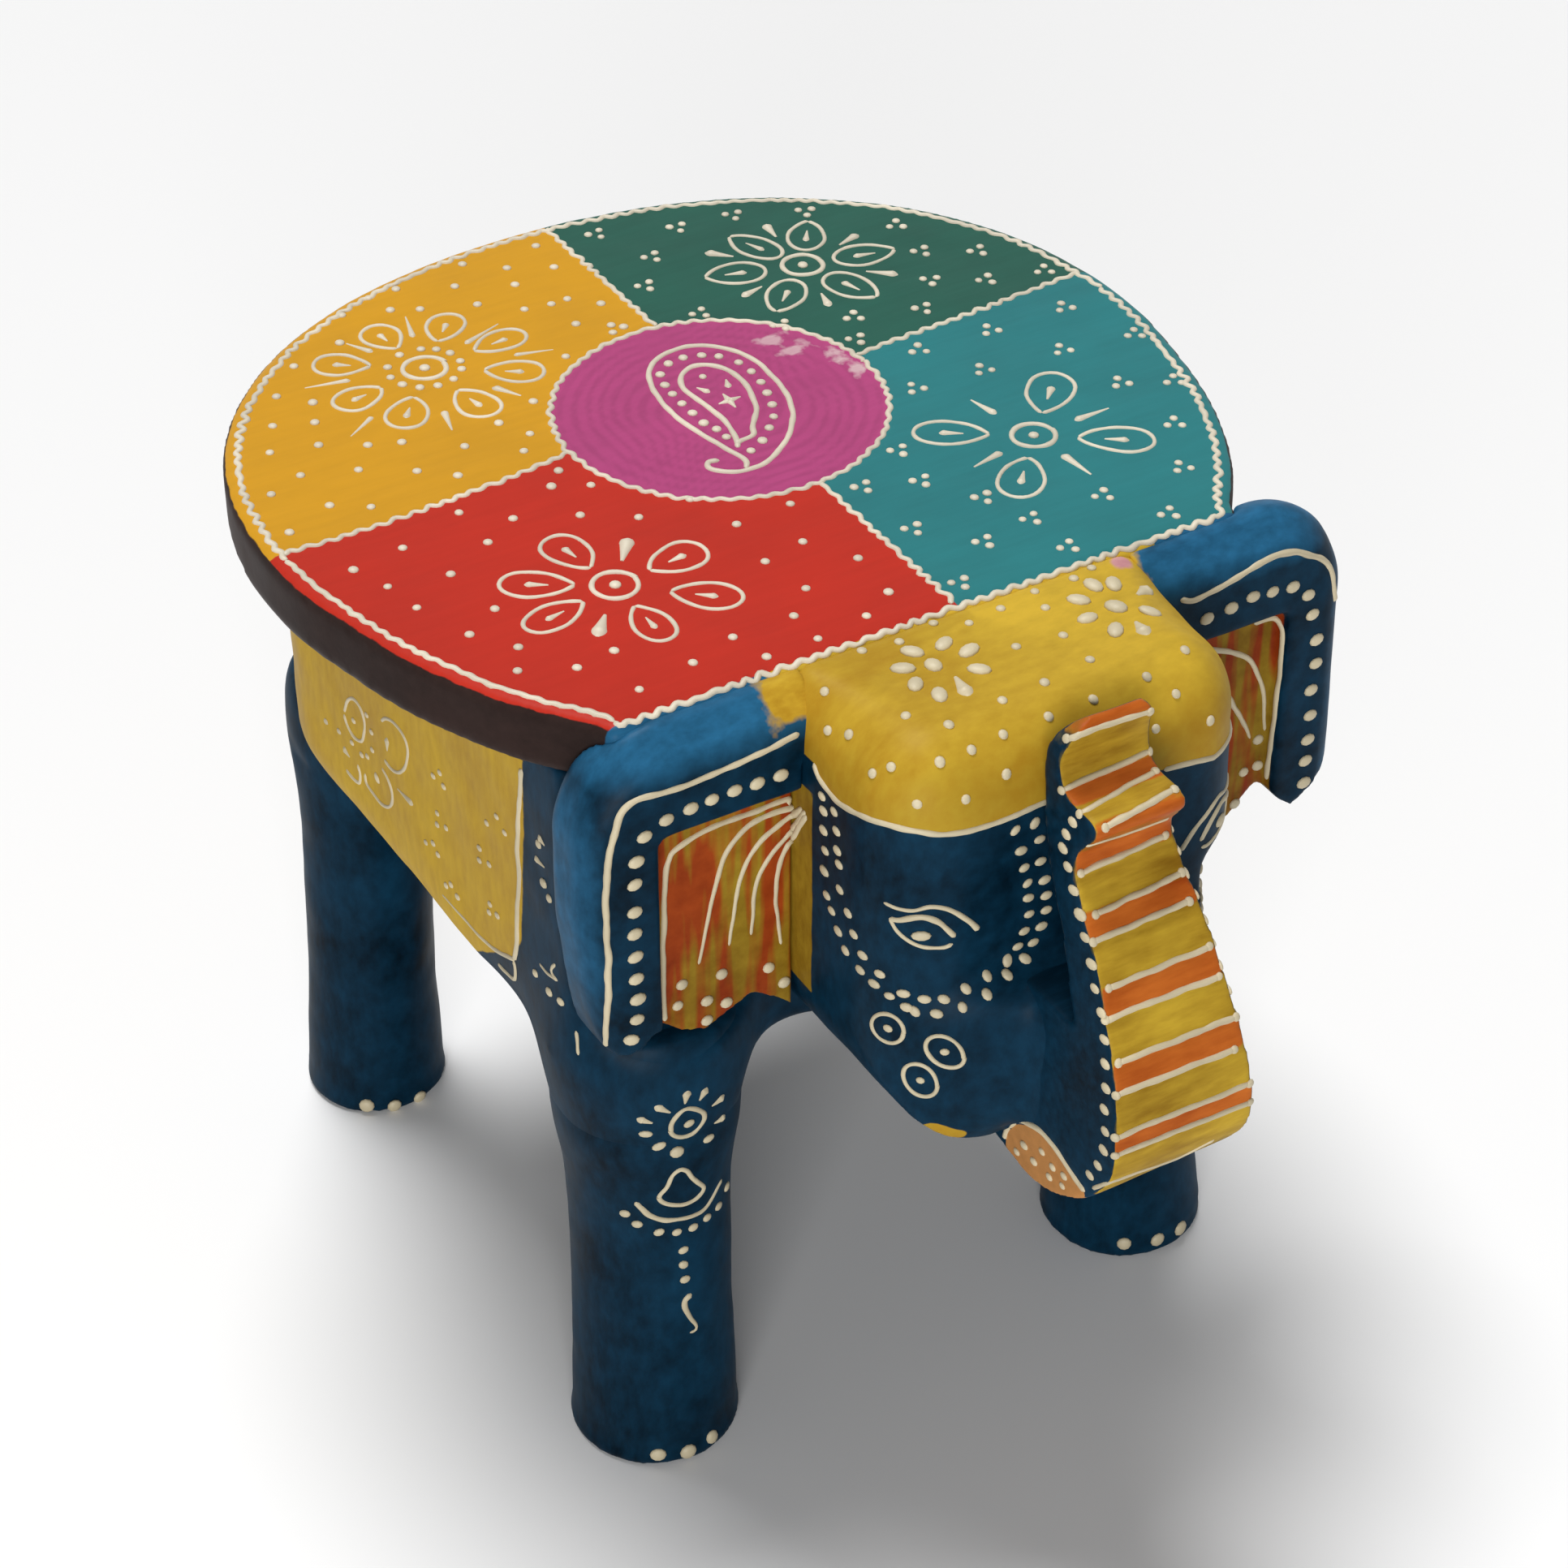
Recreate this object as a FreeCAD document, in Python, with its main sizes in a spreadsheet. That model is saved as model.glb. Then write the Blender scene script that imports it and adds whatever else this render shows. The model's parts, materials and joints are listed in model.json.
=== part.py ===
"""Carved and painted elephant stool, eight inches tall, as its joined wooden pieces.

Frame: +Z up, z = 0 the floor under the feet, the elephant faces -Y, its left side is +X.
x = 0 is the middle of the seat board.  The carved parts under it sit a little to the left.
"""
import FreeCAD
import Part
import Sketcher
import math
import os

os.makedirs("parts", exist_ok=True)
doc = FreeCAD.newDocument("elephant_stool")
V = FreeCAD.Vector

# Driving dimensions, in millimetres and degrees
SIZES = {
    # Seat board
    "seat_height": 201,
    "seat_thickness": 13.6,
    "seat_half_width": 101,
    "seat_back_depth": 90,
    "seat_front_depth": 83.5,
    "seat_widest_y": 36.7,
    "seat_edge_round": 1.6,
    "seat_gap": 0.2,
    "seat_lap": 7.5,
    # Torso block
    "carve_shift": 6.8,
    "torso_shift": 1.8,
    "torso_side_inset": 22,
    "torso_back_inset": 10,
    "torso_corner_round": 37,
    "torso_arris_round": 2.5,
    "belly_height": 103,
    "belly_round": 17,
    # Legs
    "front_right_leg_inset": 16.5,
    "front_left_leg_inset": 17.5,
    "front_leg_setback": 10.7,
    "front_ankle_radius": 17,
    "back_leg_inset": 18.2,
    "back_leg_setback": 13.8,
    "back_ankle_radius": 14.8,
    "front_right_lean": 0,
    "front_left_lean": 5.6,
    "back_leg_lean": 1.8,
    "foot_round": 3,
    "leg_housing": 19.5,
    "tenon_radius": 9,
    "sole_allowance": 2.2,
    # Head block
    "head_half_width": 41.5,
    "head_length": 50,
    "head_bottom": 106.3,
    "right_cheek_round": 16,
    "left_cheek_round": 16,
    "brow_round": 15.5,
    "temple_round": 4,
    "jaw_round": 28,
    # Trunk, one sawn board let into the chin
    "trunk_foot_height": 102.4,
    "trunk_rise": 103,
    "trunk_reach": 37.4,
    "trunk_root_half": 16.2,
    "trunk_tip_half": 10.2,
    "trunk_taper_low": 27.6,
    "trunk_taper_high": 87.6,
    "trunk_housing": 13,
    "trunk_slot_rise": 44.6,
    "housing_gap": 0.15,
    # Ears
    "ear_inset": 13,
    "ear_thickness": 17,
    "ear_drop": 2.2,
    "ear_hem_rise": 20,
    "ear_hem_depth": 14,
    "ear_corner_round": 20,
    "ear_front_round": 7.6,
    "ear_back_top_round": 9,
    "ear_back_side_round": 4,
    "ear_rim_width": 15.5,
    "ear_panel_drop": 19.8,
    "ear_panel_depth": 4,
    "ear_panel_overlap": 4,
    # Dowels
    "dowel_gap": 0.1,
    "dowel_end_gap": 1,
    "seat_dowel_radius": 4,
    "seat_dowel_into_seat": 8,
    "seat_dowel_into_torso": 16,
    "seat_dowel_spread_x": 52,
    "seat_dowel_spread_y": 50,
    "head_dowel_radius": 5,
    "head_dowel_into_head": 20,
    "head_dowel_into_torso": 22,
    "head_dowel_spread_x": 20,
    "head_dowel_drop": 27.4,
    "ear_dowel_radius": 3.5,
    "ear_dowel_into_ear": 9,
    "ear_dowel_into_torso": 10,
    "ear_dowel_inset": 4.8,
    "ear_dowel_clearance": 3,
    "trunk_dowel_radius": 3,
    "trunk_dowel_into_trunk": 12,
    "trunk_dowel_into_head": 14,
    "trunk_dowel_low": 14.6,
    "trunk_dowel_high": 30.6,
}

# Roundness of the seat's back half: 2 is an ellipse, more is squarer
SEAT_ROUNDNESS_SHARE = 2.14
SEAT_STEPS = 5

# The seat's front flank: share of the front depth, share of the half width
FLANK_SHARES = [(0.16, 0.992), (0.31, 0.968), (0.49, 0.931), (0.67, 0.873),
                (0.80, 0.818), (0.90, 0.759), (1.00, 0.693)]

# Leg outlines: share of the belly height, share of the ankle radius
FRONT_LEG_SHARES = [(0.05, 1.06), (0.15, 1.045), (0.30, 1.01), (0.48, 1.00), (0.65, 1.01),
                    (0.78, 1.08), (0.88, 1.17), (0.97, 1.27)]
BACK_LEG_SHARES = [(0.05, 1.08), (0.15, 1.05), (0.30, 1.01), (0.48, 1.00), (0.65, 1.00),
                   (0.78, 1.00), (0.88, 1.02), (0.97, 1.06)]

# Housed shoulders of the legs: share of the housing, share of the ankle radius
FRONT_SHOULDER_SHARES = [(0.32, 1.35), (0.63, 1.35), (0.90, 1.22)]
BACK_SHOULDER_SHARES = [(0.32, 1.10), (0.68, 1.08), (0.95, 0.98)]
LEG_CROWN_SHARE = 0.62
# The tenon's share of the torso's height, and where the upper ear dowel sits between
# the lower one and the seat board
TENON_SHARE = 0.19
EAR_DOWEL_SHARE = 0.684

# Trunk outline from the side: share of the reach in front of the face, share of the rise
TRUNK_UNDER_SHARES = [(-0.35, 0.076), (-0.19, 0.034), (0.00, 0.012), (0.24, 0.000),
                      (0.45, 0.011), (0.61, 0.042), (0.775, 0.088), (0.895, 0.141),
                      (0.978, 0.194), (1.000, 0.247), (0.989, 0.295), (0.941, 0.371),
                      (0.864, 0.438), (0.762, 0.506), (0.668, 0.573), (0.535, 0.640),
                      (0.406, 0.703), (0.353, 0.741), (0.342, 0.765)]
TRUNK_LIP_SHARES = [(0.342, 0.765), (0.388, 0.794), (0.461, 0.828), (0.475, 0.843),
                    (0.430, 0.859), (0.305, 0.862), (0.193, 0.872), (0.150, 0.900)]
TRUNK_TIP_SHARES = [(0.150, 0.900), (0.144, 0.939), (0.160, 0.972), (0.152, 0.992),
                    (0.125, 1.000), (0.085, 0.990), (0.043, 0.962), (0.013, 0.915),
                    (0.013, 0.852), (0.050, 0.794), (0.110, 0.736), (0.200, 0.674),
                    (0.300, 0.611), (0.390, 0.543), (0.475, 0.476)]
TRUNK_HEEL_SHARE = 0.53

# Hems of the ears: share from the head's side to the outer edge, share of the hem's depth
RIGHT_HEM_SHARES = [(0.00, 0.00), (0.104, 0.286), (0.198, 0.50), (0.313, 0.32), (0.417, 0.143),
                    (0.542, 0.286), (0.656, 0.607), (0.708, 0.714), (0.771, 0.50),
                    (0.844, 0.379), (0.90, 0.47), (0.945, 0.95), (0.975, 1.6), (1.00, 2.6)]
LEFT_HEM_SHARES = [(0.00, 0.00), (0.104, 0.286), (0.198, 0.50), (0.292, 0.393), (0.396, 0.30),
                   (0.469, 0.30), (0.533, 0.486), (0.613, 0.75), (0.656, 0.786), (0.710, 0.536),
                   (0.781, 0.364), (0.844, 0.479), (0.906, 0.621), (0.969, 0.786), (1.03, 1.05)]

sizes = doc.addObject("Spreadsheet::Sheet", "sizes")
for row, (name, number) in enumerate(SIZES.items(), start=1):
    sizes.set("A%d" % row, name)
    sizes.set("B%d" % row, str(number))
    sizes.setAlias("B%d" % row, name)
doc.recompute()


def size(name):
    """The number that the sheet holds under a name."""
    return float(sizes.get(name))


def formula(text):
    """An expression on the sheet, written with bare names, as other objects need it."""
    for name in sorted(SIZES, key=len, reverse=True):
        text = text.replace("<%s>" % name, "sizes.%s" % name)
    return text


def bind(thing, target, text):
    thing.setExpression(target, formula(text))


def value(text):
    return float(sizes.evalExpression(text.replace("<", "").replace(">", "")))


def new_body(name):
    return doc.addObject("PartDesign::Body", name)


def new_sketch(body, name, role):
    """An empty sketch on one of the body's own origin planes."""
    sketch = body.newObject("Sketcher::SketchObject", name)
    plane = next(f for f in body.Origin.OriginFeatures if f.Role == role)
    sketch.AttachmentSupport = (plane, "")
    sketch.MapMode = "FlatFace"
    return sketch


def add_polygon(sketch, corners):
    """A closed outline whose corners are pairs of expressions on the sheet."""
    spots = [V(value(x), value(y), 0) for x, y in corners]
    first = sketch.GeometryCount
    count = len(spots)
    for i in range(count):
        sketch.addGeometry(Part.LineSegment(spots[i], spots[(i + 1) % count]), False)
    for i in range(count):
        after = first + (i + 1) % count
        sketch.addConstraint(Sketcher.Constraint("Coincident", first + i, 2, after, 1))
    for i, pair in enumerate(corners):
        for kind, text in zip(("DistanceX", "DistanceY"), pair):
            rule = Sketcher.Constraint(kind, -1, 1, first + i, 1, value(text))
            number = sketch.addConstraint(rule)
            bind(sketch, "Constraints[%d]" % number, text)


def spline(points):
    """A smooth curve through points."""
    curve = Part.BSplineCurve()
    curve.interpolate(points)
    return curve


def pad(body, sketch, name, length, reverse=False):
    feature = body.newObject("PartDesign::Pad", name)
    feature.Profile = sketch
    feature.Reversed = reverse
    bind(feature, "Length", length)
    doc.recompute()
    return feature


def pocket(body, sketch, name, length, reverse=False):
    feature = body.newObject("PartDesign::Pocket", name)
    feature.Profile = sketch
    feature.Reversed = reverse
    bind(feature, "Length", length)
    doc.recompute()
    return feature


def edges_where(shape, test):
    """Names of the edges whose box passes a test."""
    return ["Edge%d" % i for i, edge in enumerate(shape.Edges, start=1) if test(edge.BoundBox)]


def fillet(body, base, name, names, radius):
    feature = body.newObject("PartDesign::Fillet", name)
    feature.Base = (base, names)
    bind(feature, "Radius", radius)
    doc.recompute()
    return feature


def rolled(name, base, rule):
    """A copy of a shape whose edges take the radii, start and end, that a rule gives them."""
    feature = doc.addObject("Part::Fillet", name)
    feature.Base = base
    rounding = []
    for number, edge in enumerate(base.Shape.Edges, start=1):
        radii = rule(edge.firstVertex().Point, edge.lastVertex().Point, edge.BoundBox)
        if radii:
            rounding.append((number, radii[0], radii[1]))
    feature.Edges = rounding
    doc.recompute()
    return feature


def near(a, b):
    """True for two places closer than the model's finest gap."""
    return abs(a - b) < size("dowel_gap") / 2


def cut(label, base, tool):
    """A piece with a tool taken out of it, under the piece's own name."""
    piece = doc.addObject("Part::Cut", label)
    piece.Base = base
    piece.Tool = tool
    doc.recompute()
    return piece


def fuse(name, shapes):
    tool = doc.addObject("Part::MultiFuse", name)
    tool.Shapes = shapes
    doc.recompute()
    return tool


def peg(name, radius, length, x, y, z, forward=False):
    """A plain round peg, upright or pointing to the front, set by expressions."""
    rod = doc.addObject("Part::Cylinder", name)
    bind(rod, "Radius", radius)
    bind(rod, "Height", length)
    if forward:
        rod.Placement.Rotation = FreeCAD.Rotation(V(1, 0, 0), 90)
    bind(rod, "Placement.Base.x", x)
    bind(rod, "Placement.Base.y", y)
    bind(rod, "Placement.Base.z", z)
    return rod


# Places that several pieces share
CHORD_Y = "(<seat_widest_y> - <seat_front_depth>)"
TORSO_FRONT_Y = "(%s + <seat_lap>)" % CHORD_Y
TORSO_BACK_Y = "(<seat_widest_y> + <seat_back_depth> - <torso_back_inset>)"
FACE_Y = "(%s - <head_length>)" % TORSO_FRONT_Y
SEAT_UNDERSIDE = "(<seat_height> - <seat_thickness>)"
TORSO_RISE = "(%s - <belly_height>)" % SEAT_UNDERSIDE
TENON_RISE = "(%s * %s)" % (TENON_SHARE, TORSO_RISE)
TORSO_HALF = "(<seat_half_width> - <torso_side_inset>)"
EAR_REACH = "(<seat_half_width> - <ear_inset>)"
EAR_TOP = "(<seat_height> - <ear_drop>)"
HEM_Z = "(<belly_height> + <ear_hem_rise>)"
SLOT_FLOOR = "(<trunk_foot_height> + <trunk_slot_rise>)"
TAPER_LOW = "(<trunk_foot_height> + <trunk_taper_low>)"
TAPER_HIGH = "(<trunk_foot_height> + <trunk_taper_high>)"
pieces = []


def keep(piece, label):
    piece.Label = label
    pieces.append(piece)


# Seat board
def seat_outline(grow):
    """The outline in plan: a round back, two nearly straight flanks and a front chord."""
    half = size("seat_half_width") + grow
    back = size("seat_back_depth") + grow
    front = size("seat_front_depth") + grow
    middle = size("seat_widest_y")
    power = 2 / SEAT_ROUNDNESS_SHARE
    right = [V(half * x, middle - front * y, 0) for y, x in reversed(FLANK_SHARES)]
    quarter = []
    for step in range(SEAT_STEPS):
        turn = math.pi / 2 * step / SEAT_STEPS
        quarter.append(V(half * math.cos(turn) ** power, middle + back * math.sin(turn) ** power, 0))
    right += quarter
    left = [V(-spot.x, spot.y, 0) for spot in reversed(right)]
    rim = right + [V(0, middle + back, 0)] + left
    return [spline(rim), Part.LineSegment(rim[-1], rim[0])]


def seat_blank(name, grow, bottom, height):
    body = new_body(name)
    sketch = new_sketch(body, name + "_outline", "XY_Plane")
    for curve in seat_outline(grow):
        sketch.addGeometry(curve, False)
    bind(sketch, "AttachmentOffset.Base.z", bottom)
    doc.recompute()
    board = pad(body, sketch, name + "_pad", height)
    return body, board


seat_body, seat_board = seat_blank("seat_board", 0, SEAT_UNDERSIDE, "<seat_thickness>")
top_z = size("seat_height")
low_z = top_z - size("seat_thickness")
chord_y = value(CHORD_Y)
rim = edges_where(seat_board.Shape, lambda b: near(b.ZMin, b.ZMax) and not near(b.YMax, chord_y))
fillet(seat_body, seat_board, "seat_edge_rounding", rim, "<seat_edge_round>")

SEAT_DOWEL_SPOTS = [(-1, -1), (1, -1), (-1, 1), (1, 1)]
SEAT_DOWEL_MIDDLE_Y = "(%s + %s) / 2" % (TORSO_FRONT_Y, TORSO_BACK_Y)


def seat_pegs(name, radius, below, above):
    """The four upright pegs, or their holes, about the seat's underside."""
    rods = []
    for i, (sx, sy) in enumerate(SEAT_DOWEL_SPOTS, start=1):
        rods.append(peg("%s_%d" % (name, i), radius, "%s + %s" % (below, above),
                        "<torso_shift> + %d * <seat_dowel_spread_x>" % sx,
                        "%s + %d * <seat_dowel_spread_y>" % (SEAT_DOWEL_MIDDLE_Y, sy),
                        "%s - %s" % (SEAT_UNDERSIDE, below)))
    return fuse(name, rods)


seat_dowels = seat_pegs("seat_dowel_group", "<seat_dowel_radius>", "<seat_dowel_into_torso>",
                        "(<seat_dowel_into_seat> - <dowel_end_gap>)")
seat_holes = seat_pegs("seat_hole_group", "(<seat_dowel_radius> + <dowel_gap>)",
                       "<seat_dowel_into_torso>", "<seat_dowel_into_seat>")
keep(cut("seat_top", seat_body, seat_holes), "seat_top")
keep(seat_dowels, "seat_dowels")


# Legs, each turned round its own upright axis and let into the torso
def leg_blank(name, shares, shoulder_shares, ankle, gap):
    """A leg with its tenon about x = y = 0, or the hollow for it when gap isn't zero."""
    belly = size("belly_height")
    radius = size(ankle)
    crown = belly + size("leg_housing")
    tenon = size("tenon_radius") + gap
    tenon_top = crown + value(TENON_RISE)
    under = -size("sole_allowance")
    curve = [V(radius * r + gap, belly * h, 0) for h, r in shares]
    curve += [V(radius * r + gap, belly + size("leg_housing") * h, 0)
              for h, r in shoulder_shares]
    sole = radius * shares[0][1] - size("foot_round")
    shoulder = V(radius * LEG_CROWN_SHARE + gap, crown, 0)
    body = new_body(name)
    sketch = new_sketch(body, name + "_outline", "XZ_Plane")
    toe = V(sole + size("foot_round") * math.sin(math.pi / 4),
            curve[0].y - (curve[0].y - under) * math.sin(math.pi / 4), 0)
    outline = [
        Part.LineSegment(V(0, under, 0), V(sole, under, 0)),
        Part.Arc(V(sole, under, 0), toe, curve[0]),
        spline(curve),
        Part.LineSegment(curve[-1], shoulder),
        Part.LineSegment(shoulder, V(tenon, crown, 0)),
        Part.LineSegment(V(tenon, crown, 0), V(tenon, tenon_top, 0)),
        Part.LineSegment(V(tenon, tenon_top, 0), V(0, tenon_top, 0)),
        Part.LineSegment(V(0, tenon_top, 0), V(0, under, 0)),
    ]
    for piece in outline:
        sketch.addGeometry(piece, False)
    doc.recompute()
    turning = body.newObject("PartDesign::Revolution", name + "_turning")
    turning.Profile = sketch
    turning.ReferenceAxis = (sketch, ["V_Axis"])
    turning.Angle = 360
    doc.recompute()
    return body


def stand(body, x, y, toward_x, toward_y, lean):
    """Sets a leg on its spot, leaning toward a direction in plan."""
    axis = V(-toward_y, toward_x, 0)
    body.Placement.Rotation = FreeCAD.Rotation(axis, size(lean))
    bind(body, "Placement.Base.x", x)
    bind(body, "Placement.Base.y", y)
    doc.recompute()


def ground(name):
    """A slab below the floor that trims each sole flat."""
    slab = doc.addObject("Part::Box", name)
    bind(slab, "Length", "4 * <seat_half_width>")
    bind(slab, "Width", "4 * <seat_half_width>")
    bind(slab, "Height", "4 * <sole_allowance>")
    bind(slab, "Placement.Base.x", "-2 * <seat_half_width>")
    bind(slab, "Placement.Base.y", "-2 * <seat_half_width>")
    bind(slab, "Placement.Base.z", "-4 * <sole_allowance>")
    return slab


FRONT_LEG_Y = "(%s + <front_leg_setback>)" % TORSO_FRONT_Y
BACK_LEG_Y = "(%s - <back_leg_setback>)" % TORSO_BACK_Y
LEGS = [
    ("leg_front_right", FRONT_LEG_SHARES, FRONT_SHOULDER_SHARES, "front_ankle_radius",
     "<carve_shift> - (%s - <front_right_leg_inset>)" % TORSO_HALF, FRONT_LEG_Y,
     1, 1, "front_right_lean"),
    ("leg_front_left", FRONT_LEG_SHARES, FRONT_SHOULDER_SHARES, "front_ankle_radius",
     "<carve_shift> + (%s - <front_left_leg_inset>)" % TORSO_HALF, FRONT_LEG_Y,
     -1, 1, "front_left_lean"),
    ("leg_back_right", BACK_LEG_SHARES, BACK_SHOULDER_SHARES, "back_ankle_radius",
     "<torso_shift> - (%s - <back_leg_inset>)" % TORSO_HALF, BACK_LEG_Y,
     1, -1, "back_leg_lean"),
    ("leg_back_left", BACK_LEG_SHARES, BACK_SHOULDER_SHARES, "back_ankle_radius",
     "<torso_shift> + (%s - <back_leg_inset>)" % TORSO_HALF, BACK_LEG_Y,
     -1, -1, "back_leg_lean"),
]
leg_hollows = []
for label, shares, shoulder_shares, ankle, x, y, toward_x, toward_y, lean in LEGS:
    blank = leg_blank(label + "_blank", shares, shoulder_shares, ankle, 0)
    hollow = leg_blank(label + "_hollow", shares, shoulder_shares, ankle, size("housing_gap"))
    for body in (blank, hollow):
        stand(body, x, y, toward_x, toward_y, lean)
    leg_hollows.append(hollow)
    keep(cut(label, blank, ground(label + "_floor")), label)


# Torso block
torso_body = new_body("torso_blank")
plan = new_sketch(torso_body, "torso_plan", "XY_Plane")
SIDE_LEFT = "<torso_shift> + %s" % TORSO_HALF
SIDE_RIGHT = "<torso_shift> - %s" % TORSO_HALF
add_polygon(plan, [(SIDE_RIGHT, TORSO_FRONT_Y), (SIDE_LEFT, TORSO_FRONT_Y),
                   (SIDE_LEFT, TORSO_BACK_Y), (SIDE_RIGHT, TORSO_BACK_Y)])
bind(plan, "AttachmentOffset.Base.z", "<belly_height>")
doc.recompute()
block = pad(torso_body, plan, "torso_pad", TORSO_RISE)
torso_front = value(TORSO_FRONT_Y)
torso_back = value(TORSO_BACK_Y)


def upright(box):
    return near(box.XMin, box.XMax) and near(box.YMin, box.YMax)


rump = edges_where(block.Shape, lambda b: upright(b) and near(b.YMax, torso_back))
block = fillet(torso_body, block, "rump_rounding", rump, "<torso_corner_round>")
belly = size("belly_height")
under_edge = edges_where(block.Shape, lambda b: near(b.ZMax, belly) and near(b.YMax, torso_back))
block = fillet(torso_body, block, "belly_rounding", under_edge, "<belly_round>")
chest = edges_where(block.Shape, lambda b: upright(b) and near(b.YMin, torso_front))
block = fillet(torso_body, block, "chest_easing", chest, "<torso_arris_round>")


# Head block
HEAD_LEFT = "<carve_shift> + <head_half_width>"
HEAD_RIGHT = "<carve_shift> - <head_half_width>"
head_body = new_body("head_blank")
plan = new_sketch(head_body, "head_plan", "XY_Plane")
add_polygon(plan, [(HEAD_RIGHT, FACE_Y), (HEAD_LEFT, FACE_Y),
                   (HEAD_LEFT, TORSO_FRONT_Y), (HEAD_RIGHT, TORSO_FRONT_Y)])
bind(plan, "AttachmentOffset.Base.z", "<head_bottom>")
doc.recompute()
block_head = pad(head_body, plan, "head_pad", "<seat_height> - <head_bottom>")
face_y = value(FACE_Y)
for side_name, flank in (("right", HEAD_RIGHT), ("left", HEAD_LEFT)):
    cheek = edges_where(block_head.Shape, lambda b: upright(b) and near(b.YMin, face_y)
                        and near(b.XMin, value(flank)))
    block_head = fillet(head_body, block_head, side_name + "_cheek_rounding", cheek,
                        "<%s_cheek_round>" % side_name)


# The jaw is rounded from side to side like a log
jaw_body = new_body("jaw_blank")
sketch = new_sketch(jaw_body, "jaw_outline", "XZ_Plane")
add_polygon(sketch, [(HEAD_RIGHT, "<head_bottom>"), (HEAD_LEFT, "<head_bottom>"),
                     (HEAD_LEFT, "<seat_height>"), (HEAD_RIGHT, "<seat_height>")])
bind(sketch, "AttachmentOffset.Base.z", "-(%s)" % TORSO_FRONT_Y)
doc.recompute()
log = pad(jaw_body, sketch, "jaw_pad", "<head_length>")
jaw_edges = edges_where(log.Shape, lambda b: near(b.ZMax, size("head_bottom"))
                        and near(b.XMin, b.XMax))
fillet(jaw_body, log, "jaw_rounding", jaw_edges, "<jaw_round>")
head_block = doc.addObject("Part::Common", "head_block")
head_block.Base = head_body
head_block.Tool = jaw_body
doc.recompute()


def crown_rule(start, end, box):
    """The crown's rounding grows from the temples at the seat to the brow at the front."""
    if near(box.YMin, torso_front) or not near(box.ZMin, top_z):
        return None
    radii = [size("brow_round"), size("brow_round")]
    if near(box.XMin, box.XMax):
        radii[0 if start.y > end.y else 1] = size("temple_round")
    return radii


crown = rolled("head_carved", head_block, crown_rule)


# Trunk board, a side profile cut from the front to its taper
def trunk_point(share):
    return V(value(FACE_Y) - size("trunk_reach") * share[0],
             size("trunk_foot_height") + size("trunk_rise") * share[1], 0)


def front_outline(low, high):
    """The board's tapering width seen from the front, as pairs of expressions."""
    right_root = "<carve_shift> - <trunk_root_half>"
    left_root = "<carve_shift> + <trunk_root_half>"
    right_tip = "<carve_shift> - <trunk_tip_half>"
    left_tip = "<carve_shift> + <trunk_tip_half>"
    return [(right_root, low), (left_root, low),
            (left_root, TAPER_LOW), (left_tip, TAPER_HIGH),
            (left_tip, high), (right_tip, high),
            (right_tip, TAPER_HIGH), (right_root, TAPER_LOW)]


trunk_body = new_body("trunk_profile")
side = new_sketch(trunk_body, "trunk_side", "YZ_Plane")
under = [trunk_point(s) for s in TRUNK_UNDER_SHARES]
lip = [trunk_point(s) for s in TRUNK_LIP_SHARES]
rear = V(under[0].x, value(SLOT_FLOOR), 0)
heel = V(trunk_point((TRUNK_HEEL_SHARE, 0)).x, value(SLOT_FLOOR), 0)
tip = [trunk_point(s) for s in TRUNK_TIP_SHARES] + [heel]
for curve in (spline(under), spline(lip), spline(tip),
              Part.LineSegment(heel, rear), Part.LineSegment(rear, under[0])):
    side.addGeometry(curve, False)
doc.recompute()
board = pad(trunk_body, side, "trunk_pad", "2 * <head_half_width>")
bind(side, "AttachmentOffset.Base.z", "<carve_shift> - <head_half_width>")
doc.recompute()


taper = new_body("trunk_taper")
front = new_sketch(taper, "trunk_front", "XZ_Plane")
add_polygon(front, front_outline("<trunk_foot_height> / 2", "2 * <seat_height>"))
bind(front, "AttachmentOffset.Base.z", "-(%s)" % TORSO_FRONT_Y)
doc.recompute()
pad(taper, front, "trunk_taper_pad", "2 * (<head_length> + <trunk_reach>)")
trunk_common = doc.addObject("Part::Common", "trunk_tapered")
trunk_common.Base = trunk_body
trunk_common.Tool = taper
doc.recompute()


# Housing in the chin for the trunk's root, and the two pegs that hold it
HOUSING_BACK = "(%s + <trunk_housing> + <housing_gap>)" % FACE_Y
housing_body = new_body("trunk_housing_tool")
sketch = new_sketch(housing_body, "housing_outline", "XZ_Plane")
ROOT = "(<trunk_root_half> + <housing_gap>)"
SLOPE = "((<trunk_root_half> - <trunk_tip_half>) / (<trunk_taper_high> - <trunk_taper_low>))"
WAIST = "(%s - %s * (<trunk_slot_rise> - <trunk_taper_low>))" % (ROOT, SLOPE)
add_polygon(sketch, [("<carve_shift> - %s" % ROOT, "<trunk_foot_height> / 2"),
                     ("<carve_shift> + %s" % ROOT, "<trunk_foot_height> / 2"),
                     ("<carve_shift> + %s" % ROOT, TAPER_LOW),
                     ("<carve_shift> + %s" % WAIST, SLOT_FLOOR),
                     ("<carve_shift> - %s" % WAIST, SLOT_FLOOR),
                     ("<carve_shift> - %s" % ROOT, TAPER_LOW)])
bind(sketch, "AttachmentOffset.Base.z", "-(%s)" % HOUSING_BACK)
doc.recompute()
pad(housing_body, sketch, "housing_pad", "<head_length>")


def forward_pegs(name, radius, back, length, spots):
    """Pegs, or their holes, that point to the front from the plane y = back."""
    rods = [peg("%s_%d" % (name, i), radius, length, x, back, z, True)
            for i, (x, z) in enumerate(spots, start=1)]
    return fuse(name, rods)


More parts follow.
